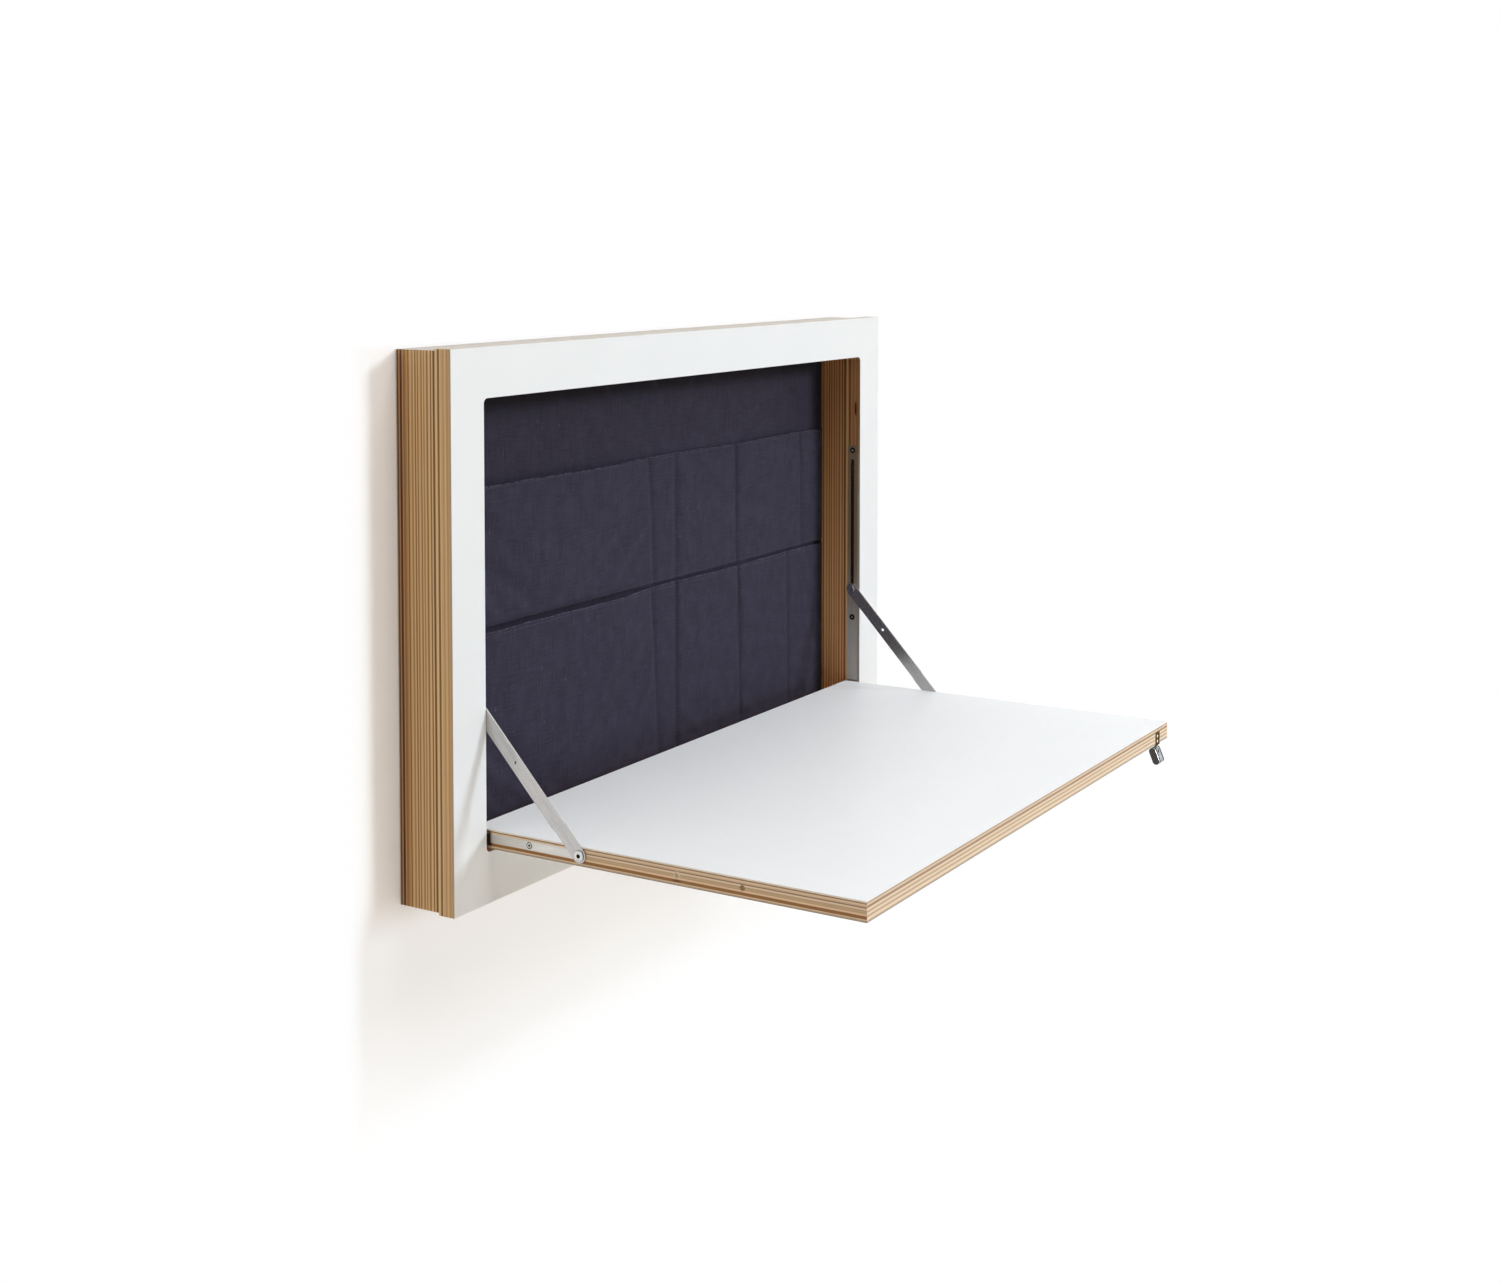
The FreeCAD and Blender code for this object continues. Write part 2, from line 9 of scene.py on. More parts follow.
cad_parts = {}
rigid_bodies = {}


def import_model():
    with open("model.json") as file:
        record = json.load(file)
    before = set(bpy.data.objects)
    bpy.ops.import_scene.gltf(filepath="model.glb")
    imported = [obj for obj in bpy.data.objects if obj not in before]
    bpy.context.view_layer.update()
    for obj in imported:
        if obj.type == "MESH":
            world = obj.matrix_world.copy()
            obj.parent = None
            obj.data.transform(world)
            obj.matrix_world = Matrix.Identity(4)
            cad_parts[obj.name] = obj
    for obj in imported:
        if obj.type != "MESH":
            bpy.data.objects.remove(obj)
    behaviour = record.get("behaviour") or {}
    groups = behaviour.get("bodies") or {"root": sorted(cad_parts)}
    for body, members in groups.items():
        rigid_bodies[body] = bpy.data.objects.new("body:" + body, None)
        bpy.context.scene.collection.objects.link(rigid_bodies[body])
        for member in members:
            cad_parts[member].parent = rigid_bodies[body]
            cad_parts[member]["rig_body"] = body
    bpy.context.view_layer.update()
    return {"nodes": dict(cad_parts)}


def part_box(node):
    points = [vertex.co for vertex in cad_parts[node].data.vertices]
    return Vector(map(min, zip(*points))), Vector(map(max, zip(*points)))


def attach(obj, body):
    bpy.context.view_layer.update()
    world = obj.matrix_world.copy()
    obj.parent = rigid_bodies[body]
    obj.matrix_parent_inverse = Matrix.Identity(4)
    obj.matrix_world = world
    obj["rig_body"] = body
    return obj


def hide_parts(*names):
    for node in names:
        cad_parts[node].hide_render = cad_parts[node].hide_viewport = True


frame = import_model()


# ---- Back panel ----
# A sheet of birch plywood that closes the box from behind. Its face veneer shows from the
# wall side, and its stacked plies show round the rim as thin light and dark lines.
def paint(red, green, blue):
    """A colour named by its 0 to 255 values, as the shader's linear colour."""
    channels = [value / 255 for value in (red, green, blue)]
    return [c / 12.92 if c < 0.04045 else ((c + 0.055) / 1.055) ** 2.4 for c in channels] + [1.0]


def put(tree, kind, inputs=None, **settings):
    """Adds a node; an input given a socket is linked and any other value is set."""
    made = tree.nodes.new("ShaderNode" + kind)
    for key, value in settings.items():
        setattr(made, key, value)
    for key, value in (inputs or {}).items():
        if isinstance(value, bpy.types.NodeSocket):
            tree.links.new(value, made.inputs[key])
        else:
            made.inputs[key].default_value = value
    return made


def calc(tree, operation, *terms):
    inputs = dict(enumerate(terms))
    return put(tree, "Math", inputs, operation=operation).outputs[0]


def plus(tree, first, second):
    return calc(tree, "ADD", first, second)


def minus(tree, first, second):
    return calc(tree, "SUBTRACT", first, second)


def times(tree, first, second):
    return calc(tree, "MULTIPLY", first, second)


def apart(tree, first, second):
    return calc(tree, "ABSOLUTE", minus(tree, first, second))


def swing(tree, noise, spread):
    """Noise that runs from 0 to 1, made to swing evenly either side of nought."""
    return times(tree, minus(tree, noise, 0.5), spread)


def length_of(tree, vector):
    return put(tree, "VectorMath", {0: vector}, operation="LENGTH").outputs["Value"]


def chance(tree, number):
    """A value from 0 to 1 that each number keeps as its own."""
    return put(tree, "TexWhiteNoise", {"W": number}, noise_dimensions="1D").outputs[0]


def fade(tree, value, low, high, start=0.0, end=1.0):
    """The value's place between low and high, eased, as a number from start to end."""
    inputs = {"Value": value, "From Min": low, "From Max": high, "To Min": start, "To Max": end}
    return put(tree, "MapRange", inputs, interpolation_type="SMOOTHSTEP").outputs[0]


def mixed(tree, share, first, second, blend_type="MIX"):
    inputs = {0: share, 6: first, 7: second}
    return put(tree, "Mix", inputs, data_type="RGBA", blend_type=blend_type).outputs[2]


def stretched(tree, vector, scale):
    return put(tree, "Mapping", {"Vector": vector, "Scale": scale}).outputs[0]


def speckle(tree, vector, scale, detail=2.0):
    return put(tree, "TexNoise", {"Vector": vector, "Scale": scale, "Detail": detail}).outputs[0]


def new_group(name, inputs):
    """An empty shader group that puts out a colour, a roughness and a height. Inputs map a
    socket's name to its type."""
    tree = bpy.data.node_groups.new(name, "ShaderNodeTree")
    outputs = {"Color": "Color", "Roughness": "Float", "Height": "Float"}
    for in_out, sockets in (("INPUT", inputs), ("OUTPUT", outputs)):
        for socket, kind in sockets.items():
            tree.interface.new_socket(name=socket, in_out=in_out, socket_type="NodeSocket" + kind)
    return tree, tree.nodes.new("NodeGroupInput").outputs, tree.nodes.new("NodeGroupOutput").inputs


def put_out(tree, result, *sources):
    """Links a group's colour, roughness and height to its outputs."""
    for source, socket in zip(sources, result):
        tree.links.new(source, socket)
    return tree


def new_finish(name, roughness=0.5, metallic=0.0, constants=None):
    """A material of one Principled shader; constants are sockets that stay the same all over."""
    material = bpy.data.materials.new(name)
    material.use_nodes = True
    tree = material.node_tree
    shader = tree.nodes["Principled BSDF"]
    shader.inputs["Roughness"].default_value = roughness
    shader.inputs["Metallic"].default_value = metallic
    for key, value in (constants or {}).items():
        shader.inputs[key].default_value = value
    return material, tree, shader.inputs


def raise_bumps(tree, shader, height, strength, distance):
    bump = put(tree, "Bump", {"Height": height, "Strength": strength, "Distance": distance})
    tree.links.new(bump.outputs[0], shader["Normal"])


def object_place(tree):
    coordinates = put(tree, "TexCoord").outputs
    place = put(tree, "SeparateXYZ", {0: coordinates["Object"]}).outputs
    facing = put(tree, "SeparateXYZ", {0: coordinates["Normal"]}).outputs
    return coordinates["Object"], place, [calc(tree, "ABSOLUTE", axis) for axis in facing]


def make_ply_edge_shader():
    """Cut edge of plywood. Sheet has X and Y along the board and Z through it; Turned is 1 on
    the edges where the odd plies show their end grain."""
    tree, given, result = new_group("ply_edge", {
        "Sheet": "Vector", "Ply": "Float", "Seed": "Float", "Turned": "Float",
        "Pale": "Color", "Brown": "Color", "Glue": "Color", "Contrast": "Float"})
    sheet = given["Sheet"]
    through = put(tree, "SeparateXYZ", {0: sheet}).outputs["Z"]
    wander = speckle(tree, stretched(tree, sheet, (1.0, 1.0, 0.0)), 9.0)
    level = plus(tree, calc(tree, "DIVIDE", through, given["Ply"]), swing(tree, wander, 0.5))
    number = plus(tree, calc(tree, "FLOOR", level), given["Seed"])
    across = calc(tree, "FRACT", level)
    odd = calc(tree, "FLOORED_MODULO", number, 2.0)
    end_grain = apart(tree, odd, given["Turned"])
    streaks = speckle(tree, stretched(tree, sheet, (14.0, 14.0, 2600.0)), 1.0, 3.0)
    pores = speckle(tree, sheet, 1500.0, 1.0)
    grain = put(tree, "Mix", {0: end_grain, 2: streaks, 3: pores}, data_type="FLOAT").outputs[0]
    tone = plus(tree, times(tree, end_grain, 0.18), times(tree, chance(tree, number), 0.72))
    tone = plus(tree, tone, times(tree, grain, 0.30))
    tone = times(tree, minus(tree, tone, 0.6), given["Contrast"])
    share = fade(tree, plus(tree, tone, 0.5), 0.0, 1.0)
    wood = mixed(tree, share, given["Pale"], given["Brown"])
    line_strength = chance(tree, plus(tree, number, 0.37))
    line = times(tree, fade(tree, across, 0.34, 0.10), fade(tree, line_strength, 0.25, 0.8))
    return put_out(tree, result, mixed(tree, line, wood, given["Glue"]),
                   fade(tree, share, 0.0, 1.0, 0.48, 0.66),
                   minus(tree, times(tree, grain, 0.6), line))


def make_birch_face_shader():
    """Rotary-cut birch face veneer: broad soft figure with short dark pores along Sheet's Y."""
    tree, given, result = new_group(
        "birch_face", {"Sheet": "Vector", "Pale": "Color", "Brown": "Color"})
    swirl = speckle(tree, stretched(tree, given["Sheet"], (5.0, 1.1, 1.0)), 1.0, 3.0)
    rings = calc(tree, "SINE", times(tree, swirl, 42.0))
    fibres = speckle(tree, stretched(tree, given["Sheet"], (900.0, 26.0, 1.0)), 1.0, 3.0)
    flame = speckle(tree, stretched(tree, given["Sheet"], (22.0, 90.0, 1.0)), 1.0, 1.0)
    tone = plus(tree, times(tree, rings, 0.10), times(tree, fibres, 0.55))
    tone = plus(tree, tone, times(tree, flame, 0.45))
    wood = mixed(tree, fade(tree, tone, 0.2, 0.95), given["Pale"], given["Brown"])
    return put_out(tree, result, wood, fade(tree, fibres, 0.2, 0.8, 0.42, 0.6), fibres)


ply_edge = make_ply_edge_shader()
birch_face = make_birch_face_shader()


def plywood(name, through, start, ply, seed, contrast, pale, brown, glue, streaks, marks_and_shadows=(),
            lining=None, painted_sheen_above=None):
    """Birch plywood. Through is the axis across the board (1 is Y, 2 is Z), start its low face.
    Streaks are single plies or joints that stand out, as (height above the low face, width,
    colour) and, where only one pair of edges shows them, "sides" or "front"; blotches are given
    as (centre, radii, colour), some of them marks on the wood and some painted shadow. Lining is
    the half size of the recess, whose cut edges get painted shade that deepens towards the top;
    upward faces above the given height get a painted pale grey sheen."""
    material, tree, shader = new_finish(name, constants={
        "IOR": 1.47, "Specular IOR Level": 0.3, "Coat Weight": 0.15, "Coat Roughness": 0.25})
    vector, place, facing = object_place(tree)
    second = 3 - through
    depth = minus(tree, place[through], start)
    sheet = put(tree, "CombineXYZ", {0: place[0], 1: place[second], 2: depth}).outputs[0]
    turned = calc(tree, "GREATER_THAN", facing[0], facing[second])
    on_face = calc(tree, "GREATER_THAN", facing[through], 0.7)
    colours = {"Sheet": sheet, "Pale": pale, "Brown": brown}
    plies = {**colours, "Ply": ply, "Seed": seed, "Turned": turned, "Glue": glue, "Contrast": contrast}
    edge = put(tree, "Group", plies, node_tree=ply_edge).outputs
    face = put(tree, "Group", colours, node_tree=birch_face).outputs
    cut_edge = edge["Color"]
    wavering = plus(tree, depth, swing(tree, speckle(tree, sheet, 14.0), 0.0006))
    shown_on = {"sides": turned, "front": minus(tree, 1.0, turned)}
    for middle, width, colour, *edges in streaks:
        share = fade(tree, apart(tree, wavering, middle), width * 0.65, width * 0.35)
        for edge_name in edges:
            share = times(tree, share, shown_on[edge_name])
        cut_edge = mixed(tree, share, cut_edge, colour)
    if lining:
        in_width = calc(tree, "LESS_THAN", calc(tree, "ABSOLUTE", place[0]), lining[0])
        in_height = calc(tree, "LESS_THAN", calc(tree, "ABSOLUTE", place[2]), lining[1])
        # Painted shade in the recess: its cut edges are tinted warmer low down and much darker towards
        # the top, where less light reaches.
        lower_lining_tint, shaded_upper_tint = (1.12, 0.94, 0.87, 1.0), (0.64, 0.49, 0.39, 1.0)
        shade_from_z, shade_full_z = -0.16, 0.19
        tint = mixed(tree, fade(tree, place[2], shade_from_z, shade_full_z), lower_lining_tint, shaded_upper_tint)
        tinted = mixed(tree, 1.0, cut_edge, tint, "MULTIPLY")
        cut_edge = mixed(tree, times(tree, in_width, in_height), cut_edge, tinted)
    # Blotches of colour: marks on the wood, and painted shadows where other parts shade the edge.
    for centre, radii, colour in marks_and_shadows:
        away = put(tree, "VectorMath", {0: vector, 1: centre}, operation="SUBTRACT").outputs[0]
        scaled = put(tree, "VectorMath", {0: away, 1: radii}, operation="DIVIDE").outputs[0]
        ragged = plus(tree, length_of(tree, scaled), times(tree, speckle(tree, vector, 300.0), 0.5))
        cut_edge = mixed(tree, fade(tree, ragged, 1.25, 0.75), cut_edge, colour)
    if painted_sheen_above:
        # Painted sheen: the upward faces along the top edge are painted a pale grey, as grazing light
        # would show them.
        sheen_grey, sheen_share = paint(176, 171, 163), 0.92
        upward = times(tree, calc(tree, "GREATER_THAN", facing[2], 0.7),
                       calc(tree, "GREATER_THAN", place[2], painted_sheen_above))
        cut_edge = mixed(tree, times(tree, upward, sheen_share), cut_edge, sheen_grey)
    tree.links.new(mixed(tree, on_face, cut_edge, face["Color"]), shader["Base Color"])
    rough, height = [put(tree, "Mix", {0: on_face, 2: edge[output], 3: face[output]},
                         data_type="FLOAT").outputs[0] for output in ("Roughness", "Height")]
    tree.links.new(rough, shader["Roughness"])
    raise_bumps(tree, shader, height, 0.35, 0.0003)
    return material


def dress(material, *names):
    """Gives CAD nodes their finish."""
    for name in names:
        slots = frame["nodes"][name].data.materials
        slots.clear()
        slots.append(material)


back_low, back_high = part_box("back_panel")
back_thickness = back_high.y - back_low.y
# The plywood's top edge takes a painted pale sheen within this of its top.
sheen_rim = 0.002
sheen_from = back_high.z - sheen_rim
back_ply = plywood(
    "back_panel_birch", 1, back_low.y, ply=0.0013, seed=4.0, contrast=0.7,
    pale=paint(200, 158, 122), brown=paint(172, 130, 96), glue=paint(110, 74, 50),
    streaks=((back_thickness - 0.0022, 0.0018, paint(92, 66, 42)),
             (back_thickness - 0.0004, 0.0014, paint(206, 188, 160)),
             (0.0004, 0.0020, paint(82, 38, 12))),
    painted_sheen_above=sheen_from)
dress(back_ply, "back_panel")


# ---- Box ----
# Two stiles and two rails of thick birch plywood, dowelled into a frame. The plies run round
# the outside and line the recess; the box stands 2 mm inside the front panel's outline.
pale_ply, dull_ply, dark_ply = paint(225, 192, 144), paint(178, 139, 90), paint(124, 88, 44)
soft_ply = paint(156, 114, 66)
box_streaks = (
    (0.0473, 0.0019, paint(104, 56, 16)), (0.0433, 0.0034, paint(164, 117, 70)),
    (0.0379, 0.0014, dark_ply), (0.0349, 0.0013, pale_ply), (0.0333, 0.0009, dull_ply),
    (0.0305, 0.0013, pale_ply), (0.0285, 0.0012, soft_ply), (0.0266, 0.0012, pale_ply),
    (0.0253, 0.0012, soft_ply), (0.0227, 0.0016, pale_ply), (0.0202, 0.0012, soft_ply),
    (0.0183, 0.0011, pale_ply), (0.0165, 0.0009, dull_ply), (0.0147, 0.0013, pale_ply),
    (0.0125, 0.0013, soft_ply), (0.0097, 0.0018, pale_ply), (0.0075, 0.0012, dark_ply),
    (0.0057, 0.0013, pale_ply), (0.0033, 0.0022, paint(116, 82, 38)),
    (0.0006, 0.0013, paint(224, 202, 152)))
past_side, past_foot = 0.0003, 0.002
recess = (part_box("slot_rail_right")[0].x + past_side, past_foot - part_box("organiser_cloth")[0].z)
box_ply = plywood(
    "box_birch", 1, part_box("box_stile_left")[0].y, ply=0.00145, seed=21.0, contrast=0.55,
    pale=paint(218, 178, 126), brown=paint(186, 143, 94), glue=paint(124, 86, 44),
    streaks=box_streaks, lining=recess, painted_sheen_above=sheen_from)
dress(box_ply, "box_stile_left", "box_stile_right", "box_rail_top", "box_rail_bottom")


# ---- Dowels ----
# Fluted beech dowels glued across the corner joints and between the box and the front panel.
# They are closed in once the desk is together.
def dowel_beech():
    material, tree, shader = new_finish("dowel_beech", roughness=0.62)
    place, _, _ = object_place(tree)
    rays = speckle(tree, stretched(tree, place, (60.0, 60.0, 400.0)), 6.0, 2.0)
    tone = mixed(tree, fade(tree, rays, 0.3, 0.7), paint(214, 168, 126), paint(176, 124, 84))
    tree.links.new(tone, shader["Base Color"])
    raise_bumps(tree, shader, rays, 0.3, 0.0002)
    return material


dress(dowel_beech(), "box_dowels", "panel_dowels")


# ---- Wall inserts and back screws ----
# Threaded sleeves in the stiles take the wall bolts. Countersunk zinc-plated screws with
# hexagon sockets hold the back panel to the box.
metal_inputs = {"Place": "Vector", "Bright": "Color", "Dull": "Color", "Rough": "Float"}


def make_metal_mottle_shader():
    """Clouded plating with fine scratches, between two colours."""
    tree, given, result = new_group("metal_mottle", metal_inputs)
    clouds = speckle(tree, given["Place"], 160.0, 3.0)
    grit = speckle(tree, given["Place"], 2400.0, 2.0)
    plating = mixed(tree, fade(tree, clouds, 0.3, 0.7), given["Bright"], given["Dull"])
    return put_out(tree, result, plating, plus(tree, given["Rough"], swing(tree, clouds, 0.25)), grit)


metal_mottle = make_metal_mottle_shader()


def surface_from(group_tree, tree, shader, inputs, strength, distance):
    """Feeds a material's colour, roughness and bumps from a shader group."""
    group = put(tree, "Group", inputs, node_tree=group_tree).outputs
    tree.links.new(group["Color"], shader["Base Color"])
    tree.links.new(group["Roughness"], shader["Roughness"])
    raise_bumps(tree, shader, group["Height"], strength, distance)


def plated_metal(name, bright, dull, rough, metallic=1.0, shine=0.5):
    material, tree, shader = new_finish(
        name, metallic=metallic, constants={"Specular IOR Level": shine})
    tones = {"Place": object_place(tree)[0], "Bright": bright, "Dull": dull, "Rough": rough}
    surface_from(metal_mottle, tree, shader, tones, 0.08, 0.0001)
    return material


def eased(node, name, width, material, segments=2):
    """A copy of a CAD node, merged, with its arrises rounded, that stands for the node."""
    source = frame["nodes"][node]
    work = bmesh.new()
    work.from_mesh(source.data)
    bmesh.ops.remove_doubles(work, verts=work.verts, dist=2e-6)
    bmesh.ops.dissolve_limit(work, angle_limit=math.radians(0.3), verts=work.verts, edges=work.edges)
    sharper_than = math.radians(30)
    arrises = [e for e in work.edges if e.calc_face_angle(0.0) > sharper_than]
    bmesh.ops.bevel(work, geom=arrises, offset=width, offset_type="OFFSET", affect="EDGES",
                    segments=segments, profile=0.5, material=-1, clamp_overlap=True)
    piece = new_piece(name, work)
    piece.modifiers.new("even_shading", "WEIGHTED_NORMAL").keep_sharp = True
    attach(piece, source["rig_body"])
    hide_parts(node)
    finish_piece(piece, material)


def new_piece(name, work, smooth_below=40.0):
    """Turns a bmesh into an object at the origin, smooth but for its sharp edges."""
    mesh = bpy.data.meshes.new(name)
    work.to_mesh(mesh)
    work.free()
    mesh.shade_smooth()
    mesh.set_sharp_from_angle(angle=math.radians(smooth_below))
    piece = bpy.data.objects.new(name, mesh)
    bpy.context.scene.collection.objects.link(piece)
    return piece


def finish_piece(piece, material):
    piece.data.materials.clear()
    piece.data.materials.append(material)


zinc = plated_metal("zinc_plate", paint(214, 214, 210), paint(176, 175, 168), 0.32)
dress(zinc, "wall_inserts", "back_panel_screws")


# ---- Front panel ----
# A faced birch board with the opening cut out of it: plywood core, white laminate in front, a
# balancing laminate behind. The laminate's core shows as a thin grey line at each cut edge.
def make_laminate_shader():
    """Melamine face with a fine orange peel, and the browner paper core on its cut edges."""
    tree, given, result = new_group(
        "laminate_skin", {"Place": "Vector", "Face": "Color", "Core": "Color", "Cut": "Float"})
    black = (0.0, 0.0, 0.0, 1.0)
    clouds = speckle(tree, given["Place"], 7.0, 2.0)
    peel = speckle(tree, given["Place"], 620.0, 2.0)
    scuffs = speckle(tree, stretched(tree, given["Place"], (30.0, 30.0, 30.0)), 4.0, 5.0)
    toned = mixed(tree, fade(tree, clouds, 0.35, 0.7, 0.0, 0.015), given["Face"], black)
    return put_out(tree, result, mixed(tree, given["Cut"], toned, given["Core"]),
                   fade(tree, scuffs, 0.3, 0.75, 0.36, 0.52), peel)


laminate_skin = make_laminate_shader()


def laminate(name, through, face, core, shine=0.5):
    material, tree, shader = new_finish(name, constants={"IOR": 1.5, "Specular IOR Level": shine})
    place, _, facing = object_place(tree)
    cut = calc(tree, "LESS_THAN", facing[through], 0.8)
    tones = {"Place": place, "Cut": cut, "Face": face, "Core": core}
    surface_from(laminate_skin, tree, shader, tones, 0.05, 0.0001)
    return material


def middle_of(name):
    low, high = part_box(name)
    return (low + high) / 2


core_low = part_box("front_panel_core")[0]
rail_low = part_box("slot_rail_right")[0]
slot_centre = middle_of("slot_rail_right")
opening_x = rail_low.x
panel_streaks = (
    (0.0184, 0.0013, paint(226, 200, 150)), (0.0157, 0.0026, paint(134, 98, 54)),
    (0.0134, 0.0014, pale_ply), (0.0094, 0.0009, dull_ply), (0.0067, 0.0013, pale_ply),
    (0.0035, 0.0020, paint(196, 156, 112)), (0.0003, 0.0022, paint(180, 160, 132)))
# Painted shadow: a near-black blotch on the panel's edge behind each rail's slot.
slot_shadow_colour, slot_shadow_reach = paint(42, 28, 24), (0.0055, 0.012, 0.26)
slot_shadow_x = opening_x + 0.007
stain_centre = (opening_x, core_low.y + 0.0063, 0.1715)
rim_centre = (opening_x, core_low.y + 0.0005, slot_centre.z - 0.040)
foot_centre = (opening_x, slot_centre.y, rail_low.z - 0.0006)
panel_ply = plywood(
    "front_panel_birch", 1, core_low.y, ply=0.00149, seed=40.0, contrast=0.5,
    pale=paint(224, 188, 140), brown=paint(196, 156, 108), glue=paint(134, 94, 56),
    streaks=panel_streaks,
    marks_and_shadows=((stain_centre, (0.02, 0.0019, 0.0125), paint(54, 22, 12)),
           (rim_centre, (0.02, 0.0040, 0.270), paint(172, 170, 160)),
           (foot_centre, (0.02, 0.011, 0.0030), paint(150, 144, 134)),
           ((slot_shadow_x, slot_centre.y, 0.0), slot_shadow_reach, slot_shadow_colour),
           ((-slot_shadow_x, slot_centre.y, 0.0), slot_shadow_reach, slot_shadow_colour)),
    lining=recess, painted_sheen_above=sheen_from)
dress(panel_ply, "front_panel_core")
white_front = laminate("white_laminate_front", 1, paint(229, 231, 232), paint(170, 152, 128))
dress(laminate("balancing_laminate", 1, paint(222, 214, 198), paint(226, 196, 152)), "front_panel_backer")
eased("front_panel_face", "front_panel_white_skin", 0.0003, white_front)


# ---- Slotted rails ----
# A flat steel rail let into the panel's inner edge on each side; the slider pin runs in its
# slot. Two countersunk screws hold each rail. The steel is satin-brushed along its length.
def make_brushed_shader():
    """Fine parallel brush lines along X of Place."""
    tree, given, result = new_group("brushed_steel", metal_inputs)
    lines = speckle(tree, stretched(tree, given["Place"], (40.0, 3600.0, 3600.0)), 1.0, 3.0)
    cast = speckle(tree, stretched(tree, given["Place"], (20.0, 160.0, 160.0)), 1.0, 2.0)
    tone = fade(tree, plus(tree, times(tree, lines, 0.7), times(tree, cast, 0.3)), 0.3, 0.7)
    return put_out(tree, result, mixed(tree, tone, given["Bright"], given["Dull"]),
                   plus(tree, given["Rough"], swing(tree, lines, 0.2)), lines)


brushed_lines = make_brushed_shader()


def brushed_steel(name, turn, bright, dull, rough, metallic=1.0):
    """Turn is the rotation that lays the brush lines along X."""
    material, tree, shader = new_finish(name, metallic=metallic)
    turned = put(tree, "Mapping", {"Vector": object_place(tree)[0], "Rotation": turn}).outputs[0]
    tones = {"Place": turned, "Bright": bright, "Dull": dull, "Rough": rough}
    surface_from(brushed_lines, tree, shader, tones, 0.12, 0.00005)
    return material


def reopened(material):
    """A material's tree, its Base Color socket, place and facing, and its colour so far."""
    tree = material.node_tree
    target = tree.nodes["Principled BSDF"].inputs["Base Color"]
    _, place, facing = object_place(tree)
    return tree, target, place, facing, target.links[0].from_socket


def wood_reflection_upwards(material, low_z, high_z, brown):
    """Steel with a painted brown reflection of the plywood round it, stronger towards its top."""
    tree, target, place, _, clean = reopened(material)
    reflected_wood = mixed(tree, 1.0, clean, brown, "MULTIPLY")
    tree.links.new(mixed(tree, fade(tree, place[2], low_z, high_z), clean, reflected_wood), target)


def nearest_centre(tree, first, second, centres):
    """The distance in a plane from the nearest of some centres."""
    nearest = 1.0
    for centre in centres:
        offset = put(tree, "CombineXYZ", {0: minus(tree, first, centre[0]),
                                          1: minus(tree, second, centre[1])}).outputs[0]
        nearest = calc(tree, "MINIMUM", length_of(tree, offset), nearest)
    return nearest


def screw_metal(name, axis, centres, socket, ring, rim, bright, dull, dark, rough,
                metallic=1.0, shine=0.5):
    """Plated screw with painted shade in its socket and on the bevel from ring to rim. Axis 0 is X
    and 1 is Y; centres are the screws' places in the plane across it."""
    material = plated_metal(name, bright, dull, rough, metallic=metallic, shine=shine)
    tree, target, place, _, clean = reopened(material)
    away = nearest_centre(tree, place[1 - axis], place[2], centres)
    inside = fade(tree, away, socket * 1.12, socket * 0.96)
    outside = fade(tree, away, ring, ring + rim * 0.1)
    tree.links.new(mixed(tree, calc(tree, "MAXIMUM", inside, outside), clean, dark), target)
    return material


rail_screw_low, rail_screw_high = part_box("rail_screws")
wood_screw_head, wood_screw_socket = 0.0038, 0.00125
screw_heights = (rail_screw_low.z + wood_screw_head, rail_screw_high.z - wood_screw_head)
rail_screw_centres = [(slot_centre.y, z) for z in screw_heights]
slot_wall = 0.0036  # the slot's walls lie within this of its middle line


def shaded_slot_and_holes(material):
    """Painted shadow on the slot's own walls and round the rims of the screw holes."""
    tree, target, place, facing, steel = reopened(material)
    off_line = apart(tree, place[1], slot_centre.y)
    dark = calc(tree, "LESS_THAN", facing[0], 0.9)
    for test, value, limit in (("LESS_THAN", off_line, slot_wall),
                               ("LESS_THAN", place[2], screw_heights[1]),
                               ("GREATER_THAN", place[2], screw_heights[0])):
        dark = times(tree, dark, calc(tree, test, value, limit))
    away = nearest_centre(tree, place[1], place[2], rail_screw_centres)
    rim = fade(tree, away, wood_screw_head * 1.16, wood_screw_head * 1.02)
    tree.links.new(mixed(tree, calc(tree, "MAXIMUM", dark, rim), steel, slot_shadow_colour), target)


upright = (0.0, math.radians(90), 0.0)
rail_steel = brushed_steel("rail_steel", upright, paint(214, 214, 212), paint(192, 192, 190), 0.42,
                           metallic=0.2)
# Painted reflection: the rail's steel is tinted brown towards its top.
wood_reflection_upwards(rail_steel, low_z=-0.19, high_z=-0.02, brown=(0.48, 0.34, 0.21, 1.0))
# Painted shadow in the rail's slot and round its screw heads.
shaded_slot_and_holes(rail_steel)
# The rail screws: pale heads with painted shade over their rims and in their sockets.
shaded_rail_screw = screw_metal("rail_screw_shaded_rim", 0, rail_screw_centres,
                         wood_screw_socket * 0.6, 0.0013, wood_screw_head,
                         paint(206, 202, 200), paint(182, 178, 176), paint(12, 10, 9), 0.6,
                         metallic=0.1, shine=0.08)
for side in ("right", "left"):
    eased("slot_rail_" + side, f"slot_rail_{side}_plate", 0.0003, rail_steel)
eased("rail_screws", "rail_screw_set", 0.0002, shaded_rail_screw)


